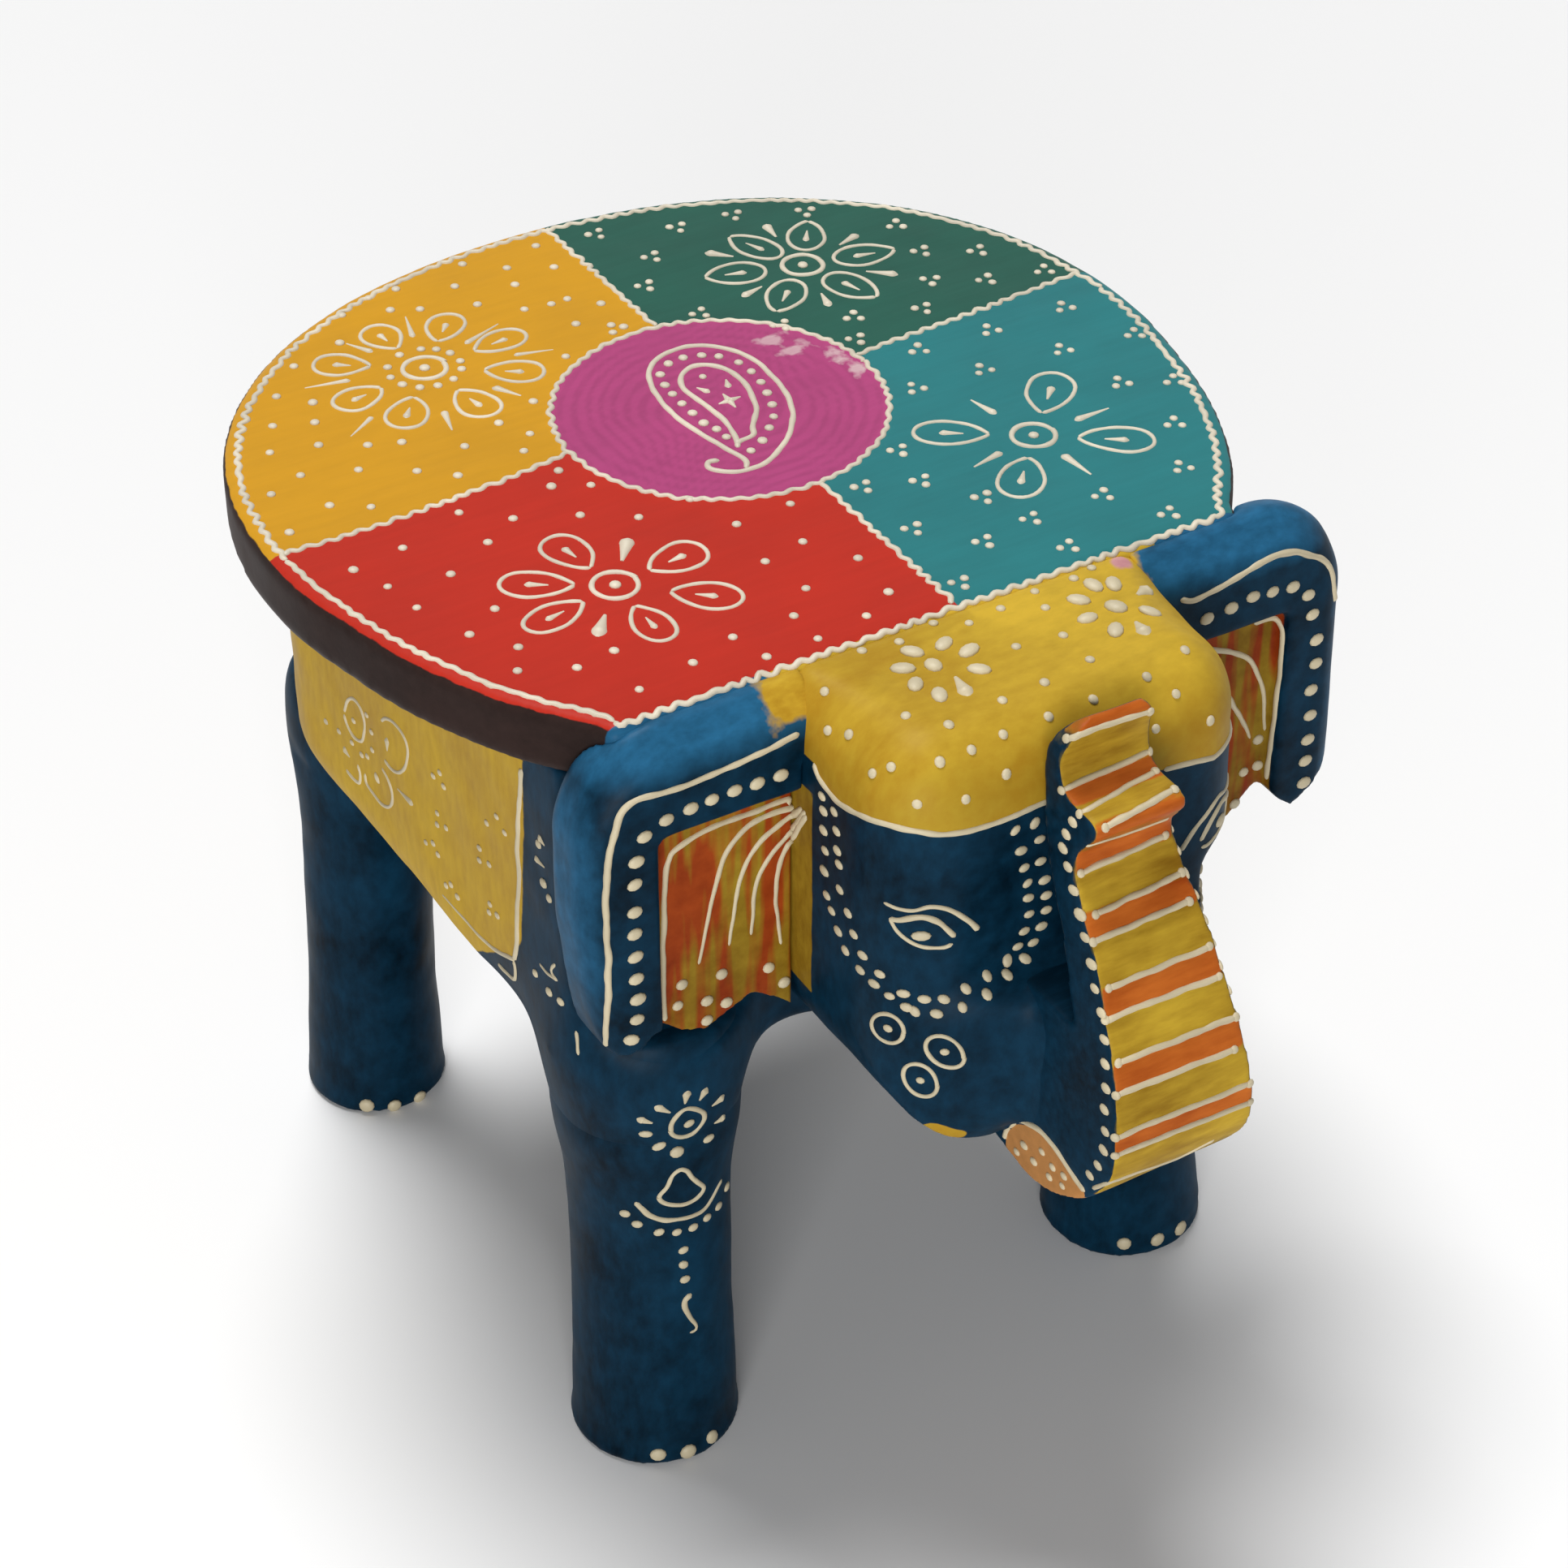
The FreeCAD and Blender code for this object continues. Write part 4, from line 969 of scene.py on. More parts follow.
# Rings on the cheek: the middle in pixels, half the width and half the height
CHEEK_RINGS = [((1094, 1267), 20, 17), ((1164, 1296), 24, 18), ((1134, 1331), 21, 19)]
FACE_DOTS = [
    (1013, 981), (1015, 999), (1015, 1023), (1017, 1048), (1016, 1073), (1019, 1103),
    (1025, 1122), (1033, 1147), (1042, 1171), (1060, 1195), (1077, 1212), (1096, 1227),
    (1117, 1241), (1127, 1246), (1154, 1249), (1186, 1241), (1216, 1225), (1028, 1000),
    (1031, 1024), (1032, 1048), (1034, 1065), (1035, 1096), (1045, 1125), (1052, 1151),
    (1063, 1177), (1084, 1200), (1113, 1224), (1139, 1231), (1163, 1231), (1190, 1218),
    (1216, 1202), (1241, 1183), (1254, 1166), (1262, 1147), (1268, 1126), (1267, 1106),
    (1266, 1088), (1262, 1069), (1258, 1048), (1251, 1023), (1241, 1201), (1263, 1181),
    (1273, 1161), (1283, 1141), (1289, 1121), (1289, 1103), (1287, 1084), (1282, 1061),
    (1281, 1034), (1275, 1014)]
JAW_PATCH = ((1150, 1391), (1178, 1399))
JAW_RADIUS = 2.2
CROWN_SMEAR = (1383, 693)
SMEAR_RADIUS = 2.3
# How deep the wood left standing beside the trunk is, how far it reaches to each side, and
# how much the left cheek is cut back
FACE_FILL, FACE_FILL_REACH = 9, 30
CHEEK_CUT = 4.5 * MM
# Heights: where that wood begins and is full, its top at the trunk, and where the cut ends
FACE_FILL_LOW = (103, 121)
FACE_FILL_TOP = 151
CHEEK_CUT_TOP = (152, 158.5)
# The part of the trunk that is run into the face, and the heights of the sweep between them
ROOT_LOW, ROOT_HIGH = 107 * MM, 148 * MM
SWEEP_LOW = (112, 119)
SWEEP_HIGH = (139, 147)
# Painted light on the crown: its full yellow, a painted lit top, starts this far above its edge,
# and narrows towards the sides; the ochre left along the low edge and the sides is painted shade
LIT_TOP_RISE, LIT_TOP_HALF, LIT_TOP_SLOPE = 15, 56, 1.35
# The yellow strip of the head's side that continues the ear's panel: how far it reaches in
# front of the ear, and between which heights. It takes the panel's darker yellow as painted
# shade, so that it looks as shaded as the sunk panel
STRIP_FRONT = 3.0 * MM
STRIP_LOW, STRIP_HIGH = 131, 180


def shape_face(piece):
    """Wood left standing between the face and the root of the trunk, and a left cheek cut back."""
    low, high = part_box("trunk")
    half = (high.x - low.x) / 2

    def beside_trunk(places):
        return (np.abs(places[:, 0] - MIDDLE_X) - half) / MM

    places = points_of(piece.data)
    away = np.clip(beside_trunk(places), 0, None)
    z = places[:, 2] / MM
    rise = FACE_FILL * np.clip(1 - away / FACE_FILL_REACH, 0, 1) ** 1.4
    rise *= smooth_step(*FACE_FILL_LOW, z)
    near = smooth_step(26, 1, (places[:, 1] - FACE_Y) / MM)
    # the fill's top falls away from the trunk's slot towards the cheek
    top = FACE_FILL_TOP - 6 * smooth_step(6, 26, away)
    places[:, 1] -= rise * near * smooth_step(top, top - 9, z) * MM
    left = smooth_step(28, 36, (places[:, 0] - MIDDLE_X) / MM)
    ahead = smooth_step(2, 9, (EAR_FRONT_Y - places[:, 1]) / MM)
    places[:, 0] -= CHEEK_CUT * left * ahead * (1 - smooth_step(*CHEEK_CUT_TOP, z))
    set_points(piece.data, places)
    core = core_of("trunk", ROOT_LOW, ROOT_HIGH, 0.7 * MM)
    only(piece)
    core.select_set(True)
    bpy.ops.object.join()
    piece.data.materials.clear()
    apply_modifier(piece, "shell", "REMESH", mode="VOXEL", adaptivity=0,
                   voxel_size=wood().carving_grain)
    places = points_of(piece.data)
    z = places[:, 2] / MM
    behind = (places[:, 1] - FACE_Y) / MM
    weights = smooth_step(20, 11, beside_trunk(places)) * smooth_step(6, -2, behind)
    weights *= smooth_step(*SWEEP_LOW, z) * (1 - smooth_step(*SWEEP_HIGH, z))
    sweep(piece, weights, 160)
    sand(piece, 2)
    bpy.ops.object.shade_smooth()


class STOOL_OT_head(bpy.types.Operator):
    """Paint the head and lay the crown's flowers, the eye, the rings and the dots"""
    bl_idname = "stool.head"
    bl_label = "Head"

    def execute(self, context):
        piece = carved_copy("head", "head_block", wood().carving_grain, 1.0, 6)
        shape_face(piece)
        surface = surface_of(piece)
        edge = [cast(surface, s) for s in rounded(CROWN_EDGE)]
        far_edge = [cast(surface, s) for s in rounded(CROWN_EDGE_LEFT)]
        # out of sight the edge runs level round the left cheek to the ear
        last, side_x = far_edge[-1][0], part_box("head")[1].x
        for step in range(1, 15):
            x = last.x + (side_x - last.x) * min(1, step / 6)
            y = last.y + (EAR_FRONT_Y - last.y) * max(0, step - 6) / 8
            far_edge.append(surface.find_nearest(Vector((x, y, last.z)))[:2])
        axis = Vector((MIDDLE_X, EAR_FRONT_Y + 6 * MM, 0))
        turns = sorted((math.atan2(p.x - axis.x, axis.y - p.y), p.z / MM)
                       for p, _ in edge + far_edge)
        turns = [(-math.pi, turns[0][1])] + turns + [(math.pi, turns[-1][1])]
        places = points_of(piece.data)
        around = np.arctan2(places[:, 0] - axis.x, axis.y - places[:, 1])
        level = np.interp(around, *zip(*turns))
        z = places[:, 2] / MM
        mark(piece, "crown", z - level)
        across = np.abs(places[:, 0] - MIDDLE_X) / MM
        # painted light: a lit top of full yellow, leaving painted shade of ochre along the crown's
        # low edge and sides
        mark(piece, "crown_light", least(
            z - level - LIT_TOP_RISE, LIT_TOP_HALF - across * LIT_TOP_SLOPE))
        # painted shade: the strip beside the ear gets the sunk panel's darker yellow, not the
        # crown's
        strip = (places[:, 1] - EAR_FRONT_Y + STRIP_FRONT) / MM
        mark(piece, "ear_paint", least(strip, STRIP_HIGH - z, z - STRIP_LOW))
        smear, jaw, jaw_end = (np.array(cast(surface, spot)[0]) / MM
                               for spot in (CROWN_SMEAR,) + JAW_PATCH)
        mark(piece, "smear", SMEAR_RADIUS - np.linalg.norm(places / MM - smear, axis=1))
        mark(piece, "jaw", JAW_RADIUS - from_line(places / MM, jaw, jaw_end)[0])
        yellow = tones("yellow", 0.8, 1.12)
        piece.data.materials.append(painted_wood(
            "brushed enamel on the head", body_blue(),
            # painted shade: the darker yellow of the ear's sunk panel on the strip beside it
            [coat("ear_paint", (tones("ochre", 0.45)[0], tones("yellow", 0.8, 0.6)[1])),
             coat("jaw", (paint("ochre"), yellow[0])),
             # the crown's ochre base, where the painted lit top above does not cover it, is painted
             # shade
             coat("crown", (paint("ochre"), yellow[0])),
             coat("crown_light", yellow, 12, 3),
             coat("smear", (linear("#B5707E"), linear("#D9A3A0")), 1.0, 1.2)],
            along=(0.5, 1.0, 0.5)))
        work = ConeWork("head_cone_work", surface)
        bead, fine, dot = cone("bead"), cone("fine"), cone("dot")
        work.bead(edge, bead)
        work.bead(far_edge, bead)
        work.dabs(CROWN_DABS, CROWN_DAB)
        work.spots(CROWN_MIDDLES, CROWN_MIDDLE, 1.2)
        work.spots(CROWN_DOTS, dot)
        work.trail(BROW, fine * 1.15, mirrored, ends=(0.7, 1.15))
        work.trail(UPPER_LID, fine * 1.3, mirrored)
        work.trail(LOWER_LID, fine * 0.9, mirrored)
        work.spots([PUPIL], PUPIL_WIDTH, 1.5, mirrored)
        for (x, y), wide, tall in CHEEK_RINGS:
            turns = [heading(30 * step) for step in range(12)]
            ring = [(x + wide * turn.x, y + tall * turn.y + 0.3 * wide * turn.x)
                    for turn in turns]
            work.trail(ring, fine * 0.95, mirrored, closed=True)
            work.spots([(x, y)], dot * 0.85, 1.1, mirrored)
        work.spots(FACE_DOTS, dot, 1.3, mirrored)
        work.settle()
        return {"FINISHED"}


# The trunk

# The white stripes over the trunk's front, from the tip down, by their two ends
STRIPES = [((1314, 910), (1417, 877)), ((1308, 974), (1417, 926)), ((1330, 1003), (1432, 945)),
           ((1362, 1020), (1455, 968)), ((1332, 1076), (1445, 1025)), ((1350, 1127), (1456, 1075)),
           ((1347, 1161), (1476, 1106)), ((1366, 1218), (1490, 1166)), ((1362, 1257), (1502, 1203)),
           ((1378, 1310), (1523, 1253)), ((1375, 1350), (1534, 1288)), ((1374, 1402), (1540, 1335)),
           ((1374, 1424), (1540, 1358))]
STRIPE_JUMP = 6 * MM
# How far the trunk's front may turn away from straight ahead, as parts of its normal, how
# near in millimetres it lies to the stripes' line, and the width of its dark edge, an olive
# band of painted shade along the front's rounded arris
FRONT_SIDEWAYS, FRONT_BACKWARD, FRONT_DOWN = 0.62, 0.35, 0.75
FRONT_NEAR = 7
SHADED_EDGE_WIDTH = 0.35
NOTCH = ((1338, 1043), (1440, 1008))
CHIN_LINE = [(1346, 1464), (1400, 1445), (1450, 1427), (1496, 1404)]
# The pairs of stripes, counted with the notch, that have orange between them
ORANGE_BANDS = [(-1, 0), (1, 2), (3, 4), (4, 5), (6, 7), (8, 9), (10, 11), (12, 13)]
TRUNK_SIDE_DOTS = [
    (1322, 1013), (1314, 1028), (1310, 1045), (1316, 1068), (1323, 1097), (1331, 1127),
    (1337, 1155), (1345, 1188), (1349, 1218), (1357, 1248), (1361, 1281), (1362, 1311),
    (1363, 1341), (1361, 1367), (1362, 1394), (1360, 1417), (1353, 1436), (1343, 1448)]
ROOT_PATCH = [(1237, 1402), (1245, 1386), (1259, 1381), (1278, 1391), (1297, 1410), (1316, 1439),
              (1337, 1468)]
ROOT_DOTS = [(1262, 1411), (1253, 1419), (1284, 1419), (1274, 1431), (1297, 1438), (1293, 1450),
             (1311, 1449), (1309, 1461)]


# The radius of the trunk's tip on its right (-1) and its left
TIP_CORNERS = ((-1, 8 * MM), (1, 3.5 * MM))


def round_tip(piece):
    """Rounds the corners of the trunk's tip, more on its right."""
    places = points_of(piece.data)
    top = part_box("trunk")[1].z
    for side, radius in TIP_CORNERS:
        over = np.clip((places[:, 2] - top + radius) / radius, 0, 0.97)
        inset = radius * (1 - np.sqrt(1 - over ** 2))
        outer = np.clip((places[:, 0] - MIDDLE_X) * side / (10 * MM), 0, 1)
        places[:, 0] -= side * inset * outer
    set_points(piece.data, places)


class STOOL_OT_trunk(bpy.types.Operator):
    """Paint the trunk in bands and lay its stripes and rows of dots"""
    bl_idname = "stool.trunk"
    bl_label = "Trunk"

    def execute(self, context):
        piece = carved_copy("trunk", "trunk_board",
                            wood().carving_grain * 0.8, 0.6, 4)
        round_tip(piece)
        surface = surface_of(piece)
        places = points_of(piece.data) / MM
        stations = []
        for left, right in STRIPES[:4] + [NOTCH] + STRIPES[4:]:
            spot, _ = cast(surface, (Vector(left) + Vector(right)) / 2)
            stations.append(np.array((spot.y, spot.z)) / MM)
        # how far down the trunk's front each point lies, along the line through the stripes
        first, last = stations[0] - stations[1], stations[-1] - stations[-2]
        line = [stations[0] + first * 2] + stations + [stations[-1] + last * 4]
        flat = places[:, 1:]
        best = np.full(len(flat), 1e9)
        down = np.zeros(len(flat))
        run = -np.linalg.norm(line[1] - line[0])
        reach = []
        for a, b in zip(line, line[1:]):
            span = np.linalg.norm(b - a)
            gap, share = from_line(flat, a, b)
            nearer = gap < best
            best[nearer] = gap[nearer]
            down[nearer] = (run + share * span)[nearer]
            reach.append(run)
            run += span
        edges = [reach[0] - 5] + reach[1:] + [run]
        band = np.full(len(flat), FAR_OFF)
        for top, bottom in ORANGE_BANDS:
            band = np.maximum(band, least(down - edges[top + 1], edges[bottom + 1] - down))
        sideways, backward, upward = vectors_of(piece.data, "normal").T
        # the front is what faces forward, neither sideways nor down, near the stripes' line
        front = least((FRONT_SIDEWAYS - np.abs(sideways)) * 4, (FRONT_BACKWARD - backward) * 4,
                      (upward + FRONT_DOWN) * 4, FRONT_NEAR - best)
        mark(piece, "front", front)
        mark(piece, "band", least(band, front))
        # painted shade: a dark olive band where the yellow front rounds over into the trunk's sides
        mark(piece, "edge", least(front, SHADED_EDGE_WIDTH - front))
        border = [cast(surface, s) for s in rounded(ROOT_PATCH)]
        order = sorted((-p.y / MM, p.z / MM) for p, _ in border)
        level = np.interp(-places[:, 1], *zip(*order), left=0, right=0)
        mark(piece, "root", level - places[:, 2])
        piece.data.materials.append(painted_wood(
            "brushed enamel on the trunk", body_blue(),
            [coat("front", (tones("ochre", 0.6)[0], tones("yellow", 0.8, 0.95)[1])),
             coat("band", (tones("orange", 0.6)[0], linear("#D0712A")), 0.6, 0.8),
             # painted shade along the front's rounded edges
             coat("edge", (linear("#4E5A24"), tones("ochre", 0.7)[0]), 1.4, 1.3),
             coat("root", tones("peach", 0.7, 1.0))], along=(0.2, 1.0, 1.0)))
        work = ConeWork("trunk_cone_work", surface)
        bead, dot = cone("bead"), cone("dot")
        for left, right in STRIPES:
            path = []
            for step in range(13):
                spot = cast(surface, Vector(left).lerp(Vector(right), step / 12))
                # a ray past the board's edge lands far behind the front
                if path and (spot[0] - path[-1][0]).length > STRIPE_JUMP:
                    break
                path.append(spot)
            work.bead(path, bead)
            for end in (path[0], path[-1]):
                work.dot(*end, bead * 1.3)
        work.trail(CHIN_LINE, bead * 0.7)
        work.trail([NOTCH[0], ((NOTCH[0][0] + NOTCH[1][0]) / 2, 1027), NOTCH[1]], bead * 0.6)
        work.spots(TRUNK_SIDE_DOTS, dot, 1.35, mirrored)
        work.bead(border, bead)
        work.bead(mirrored(surface, border), bead)
        work.spots(ROOT_DOTS, dot * 0.85, 1.2, mirrored)
        work.settle()
        return {"FINISHED"}


# The ears

RIM_LINE = {
    "right": [(985, 905), (920, 935), (840, 970), (777, 990), (757, 1025), (747, 1090),
              (750, 1200), (745, 1288)],
    "left": [(1455, 738), (1475, 738), (1520, 715), (1560, 690), (1590, 680), (1610, 683),
             (1630, 690), (1640, 705), (1645, 740)]}
RIM_DOTS = {
    "right": [(962, 955), (933, 965), (905, 974), (877, 985), (851, 996), (821, 1010),
              (794, 1031), (784, 1062), (782, 1090), (782, 1124), (782, 1151), (783, 1179),
              (784, 1206), (786, 1231), (785, 1256), (778, 1281)],
    "left": [(1487, 762), (1517, 749), (1544, 735), (1568, 729), (1593, 723), (1612, 733),
             (1617, 757), (1622, 788), (1621, 817), (1615, 850), (1614, 881), (1611, 911),
             (1608, 937), (1606, 964), (1599, 983)]}
PANEL_LINE = {
    "right": [(819, 1258), (817, 1200), (818, 1130), (820, 1080), (824, 1060), (833, 1046),
              (870, 1023), (920, 1003), (980, 981)],
    "left": [(1545, 768), (1567, 762), (1577, 770), (1580, 790), (1573, 860), (1560, 960)]}
VEINS = {
    "right": [[(978, 995), (945, 1005), (912, 1026), (889, 1065), (875, 1120), (861, 1188)],
              [(988, 996), (958, 1018), (930, 1045), (912, 1085), (898, 1165)],
              [(992, 1000), (970, 1030), (944, 1062), (930, 1100), (925, 1152)],
              [(993, 1004), (975, 1035), (961, 1065), (956, 1110), (963, 1163)]],
    "left": [[(1490, 800), (1515, 803), (1535, 810), (1550, 830), (1557, 860), (1558, 900)],
             [(1507, 852), (1520, 870), (1532, 890), (1540, 910)]]}
PANEL_DOTS = {
    "right": [(840, 1213), (835, 1239), (871, 1233), (895, 1235), (889, 1200), (871, 1257),
              (947, 1192), (966, 1210), (976, 1163), (982, 1194)],
    "left": [(1550, 911), (1549, 943), (1532, 951), (1521, 990)]}
RIM_DOT = 2.8 * MM
PANEL_DOT = 2.6 * MM
# How far filler runs from an ear onto the crown and up to the seat board
CROWN_FILLER = 4 * MM
BOARD_FILLER = 1.9 * MM
# How far from the middle the crown's yellow ends on each ear, and where it is in height and
# depth
CROWN_ENDS = {"right": 48, "left": 42}
CROWN_LOW, CROWN_DEPTH = 194.5, 12
# The sunk panel: its outer side and top, and how deep it lies
PANEL_SIDE, PANEL_TOP = 73.5, 179.6
PANEL_NEAR, PANEL_FAR = 1.6, 11
# Orange covers the panel above this height and outside this distance from the middle
FLAME_LOW, FLAME_INNER = 141, 48
# Painted highlight: a lighter blue, fading in softly, stands in for the sheen of the ear's rounded
# top and outer side. It covers the ear's outer side, its top, and both down to this height
SHEEN_SIDE, SHEEN_TOP, SHEEN_LOW = 86.5, 193.5, 128


class STOOL_OT_ears(bpy.types.Operator):
    """Paint the ears and lay their borders, veins and dots"""
    bl_idname = "stool.ears"
    bl_label = "Ears"

    def execute(self, context):
        for side in ("right", "left"):
            piece = carved_copy("ear_" + side, "ear_plate_" + side,
                                wood().carving_grain, 0.8, 4)
            places = points_of(piece.data)
            # filler runs from the ear onto the crown and up to the seat board
            off = (places[:, 0] - MIDDLE_X) / MM
            depth = (places[:, 1] - EAR_FRONT_Y) / MM
            high = smooth_step(184, 192, places[:, 2] / MM)
            inner = smooth_step(52, 41, np.abs(off))
            places[:, 0] -= np.sign(off) * CROWN_FILLER * inner * high
            places[:, 2] += BOARD_FILLER * high * smooth_step(2.5, 8.5, depth)
            set_points(piece.data, places)
            places = places / MM
            across = np.abs(off)
            z = places[:, 2]
            panel = least(depth - PANEL_NEAR, PANEL_FAR - depth, PANEL_SIDE - across,
                          PANEL_TOP - z)
            mark(piece, "panel", panel)
            mark(piece, "rim", -panel)
            # orange is brushed down from the panel's outer top and thins out below
            mark(piece, "flame", least((z - FLAME_LOW) * 0.8, (across - FLAME_INNER) * 1.5,
                                       panel * 3))
            # painted highlight: lighter blue for the sheen along the ear's top and outer side
            outside = np.maximum(across - SHEEN_SIDE, z - SHEEN_TOP)
            mark(piece, "pale", least(outside, z - SHEEN_LOW))
            mark(piece, "crown", least(CROWN_ENDS[side] - across, z - CROWN_LOW,
                                       CROWN_DEPTH - depth))
            piece.data.materials.append(painted_wood(
                "brushed enamel on the %s ear" % side, body_blue(),
                [coat("panel", (tones("ochre", 0.45)[0], tones("yellow", 0.8, 0.6)[1]), 0.4, 0.5),
                 coat("flame", (linear("#7A2A0C"), linear("#A8481A")), 2, 8, True),
                 coat("rim", body_blue(), 0.4, 0.5),
                 # the painted highlight blue, fading in over six millimetres
                 coat("pale", tones("sheen_blue", 0.45, 1.15), 6, 1.5),
                 coat("crown", (paint("ochre"), tones("yellow", 0.8, 1.1)[1]), 1.5, 3)],
                along=(0.5, 1.0, 0.5)))
            surface = surface_of(piece)
            work = ConeWork("ear_cone_work_" + side, surface)
            bead, dot = cone("bead"), cone("dot")
            work.trail(RIM_LINE[side], bead * 1.05)
            work.spots(RIM_DOTS[side], RIM_DOT, 1.15)
            work.trail(PANEL_LINE[side], bead)
            work.spots(PANEL_DOTS[side], PANEL_DOT)
            if side == "right":
                # the veins of this ear start on the side of the head
                work.surface = surface_of(piece, bpy.data.objects["head_block"])
            for vein in VEINS[side]:
                work.trail(vein, bead * 0.9, ends=(1.3, 0.6))
            work.settle()
        return {"FINISHED"}


# The torso and the legs

FRONT_LEGS = ("leg_front_right", "leg_front_left")
# The torso's filler runs onto the legs down to this height
SHOULDER = 78 * MM
# Where the sweep between them works: distance from the leg's middle, and heights
SHOULDER_REACH = (40, 30)
SHOULDER_LOW = (76, 88)
SHOULDER_HIGH = (124, 142)
# Where the yellow flank ends: its front edge's y for heights, its lower edge's height for y
FLANK_EDGE = [(121, -8.3), (125, -13.3), (133, -18.3), (155, -21.3), (190, -24.5)]
FLANK_FLOOR = [(-13.3, 125), (-8.3, 123), (1.7, 116), (12, 108), (20, 104.5)]
FLANK_LOOPS = [
    [(424, 876), (428, 864), (436, 862), (444, 872), (449, 888), (449, 902), (446, 913),
     (437, 909), (429, 895), (424, 880)],
    [(470, 888), (475, 885), (485, 890), (494, 901), (501, 916), (503, 931), (499, 945),
     (491, 952), (483, 948), (474, 936)],
    [(471, 946), (478, 960), (483, 975), (484, 988), (479, 995), (471, 991), (460, 978),
     (452, 965), (450, 953)],
    [(441, 942), (444, 953), (443, 964), (436, 960), (427, 948)]]
FLANK_DABS = [((477, 911), (477, 925)), ((463, 953), (467, 964)), ((508, 990), (490, 972)),
              ((424, 922), (431, 933))]
FLANK_DAB = 2.0 * MM
FLANK_DOTS = [
    (436, 888), (452, 881), (458, 902), (459, 924), (453, 932), (446, 930), (434, 915),
    (402, 889), (418, 901), (534, 956), (542, 952), (547, 969), (539, 1002), (539, 1016),
    (550, 1020), (525, 1038), (534, 1039), (540, 1053), (600, 1014), (612, 1006), (622, 1026),
    (591, 1045), (591, 1060), (603, 1065), (550, 1091), (556, 1090), (564, 1105), (604, 1114),
    (603, 1124), (613, 1128)]
FLANK_LINE = [(643, 948), (640, 990), (638, 1040), (640, 1080), (638, 1130), (637, 1160),
              (634, 1182)]
FLANK_HEM = [(634, 1182), (610, 1170), (590, 1152), (570, 1130), (545, 1102)]
FLANK_TAIL = [(633, 1183), (635, 1194), (634, 1206), (624, 1198), (614, 1187)]
# The blue strip between the flank and the front leg
STRIP_DABS = [((664, 1031), (671, 1042)), ((660, 1057), (671, 1069))]
STRIP_DAB = 1.9 * MM
STRIP_DOTS = [(670, 1088), (677, 1107), (660, 1199), (677, 1222), (691, 1234), (664, 1040)]
STRIP_MARKS = [[(665, 1187), (675, 1200), (687, 1209)], [(684, 1188), (680, 1197), (687, 1209)],
               [(709, 1270), (711, 1285), (713, 1300)]]


def reach_out_to(piece, legs):
    """Lets the torso's wood run down onto the shoulders of the legs in one sweep."""
    places = points_of(piece.data)
    weights = np.zeros(len(places))
    for low, high in (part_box(leg) for leg in legs):
        axis = (low + high) / 2
        away = np.hypot(places[:, 0] - axis.x, places[:, 1] - axis.y) / MM
        z = places[:, 2] / MM
        near = smooth_step(*SHOULDER_REACH, away)
        near *= smooth_step(*SHOULDER_LOW, z) * (1 - smooth_step(*SHOULDER_HIGH, z))
        weights = np.maximum(weights, near)
    sweep(piece, weights, 90)


class STOOL_OT_torso(bpy.types.Operator):
    """Paint the torso's flanks and lay their flowers and dots"""
    bl_idname = "stool.torso"
    bl_label = "Torso"

    def execute(self, context):
        piece = carved_copy("torso", "torso_block", wood().block_grain, 1.0, 4,
                            joined=FRONT_LEGS, cut=SHOULDER)
        reach_out_to(piece, FRONT_LEGS)
        places = points_of(piece.data) / MM
        front = np.interp(places[:, 2], *zip(*FLANK_EDGE))
        floor = np.interp(places[:, 1], *zip(*FLANK_FLOOR))
        mark(piece, "flank", least(places[:, 1] - front, places[:, 2] - floor))
        piece.data.materials.append(body_material())
        surface = surface_of(piece)
        work = ConeWork("torso_cone_work", surface)
        bead, fine, dot = cone("bead"), cone("fine"), cone("dot")
        for loop in FLANK_LOOPS:
            work.trail(loop, fine * 0.9, mirrored)
        work.dabs(FLANK_DABS, FLANK_DAB, mirrored)
        work.spots(FLANK_DOTS, dot * 0.72, 1.2, mirrored)
        work.trail(FLANK_LINE, bead * 1.1, mirrored)
        work.trail(FLANK_HEM, fine * 1.2, mirrored, ends=(1.0, 0.4))
        work.trail(FLANK_TAIL, fine, mirrored)
        work.dabs(STRIP_DABS, STRIP_DAB, mirrored)
        work.spots(STRIP_DOTS, dot, 1.0, mirrored)
        for line in STRIP_MARKS:
            work.trail(line, fine * 0.8, mirrored)
        work.settle()
        return {"FINISHED"}


LEG_RING = [(826, 1393), (827, 1384), (835, 1374), (845, 1367), (857, 1367), (866, 1372),
            (867, 1379), (861, 1389), (852, 1397), (840, 1401), (830, 1399)]
LEG_DABS = [((847, 1346), (844, 1360)), ((870, 1342), (862, 1356)), ((891, 1351), (877, 1363)),
            ((892, 1376), (880, 1384)), ((878, 1400), (868, 1405)), ((806, 1415), (818, 1409)),
            ((789, 1397), (802, 1397)), ((787, 1379), (804, 1384)), ((809, 1364), (826, 1371))]
LEG_DAB = 2.3 * MM
LEG_MIDDLE = (834, 1419)
LEG_MIDDLE_WIDTH = 3.0 * MM
LEG_ARROW = [(812, 1475), (822, 1462), (829, 1448), (838, 1441), (846, 1443), (852, 1451),
             (867, 1462), (860, 1474), (848, 1482), (835, 1485), (820, 1483)]
LEG_ARC = [(783, 1481), (790, 1489), (800, 1498), (820, 1503), (840, 1501), (858, 1496),
           (868, 1489), (876, 1477), (883, 1464), (889, 1453)]
LEG_DOTS = [(770, 1495), (785, 1508), (812, 1518), (834, 1518), (854, 1512), (871, 1500),
            (885, 1486), (895, 1462), (842, 1540), (842, 1558), (844, 1576), (849, 1384)]
LEG_TAIL = [(852, 1594), (844, 1602), (844, 1612), (850, 1622), (857, 1632), (857, 1638),
            (850, 1642)]
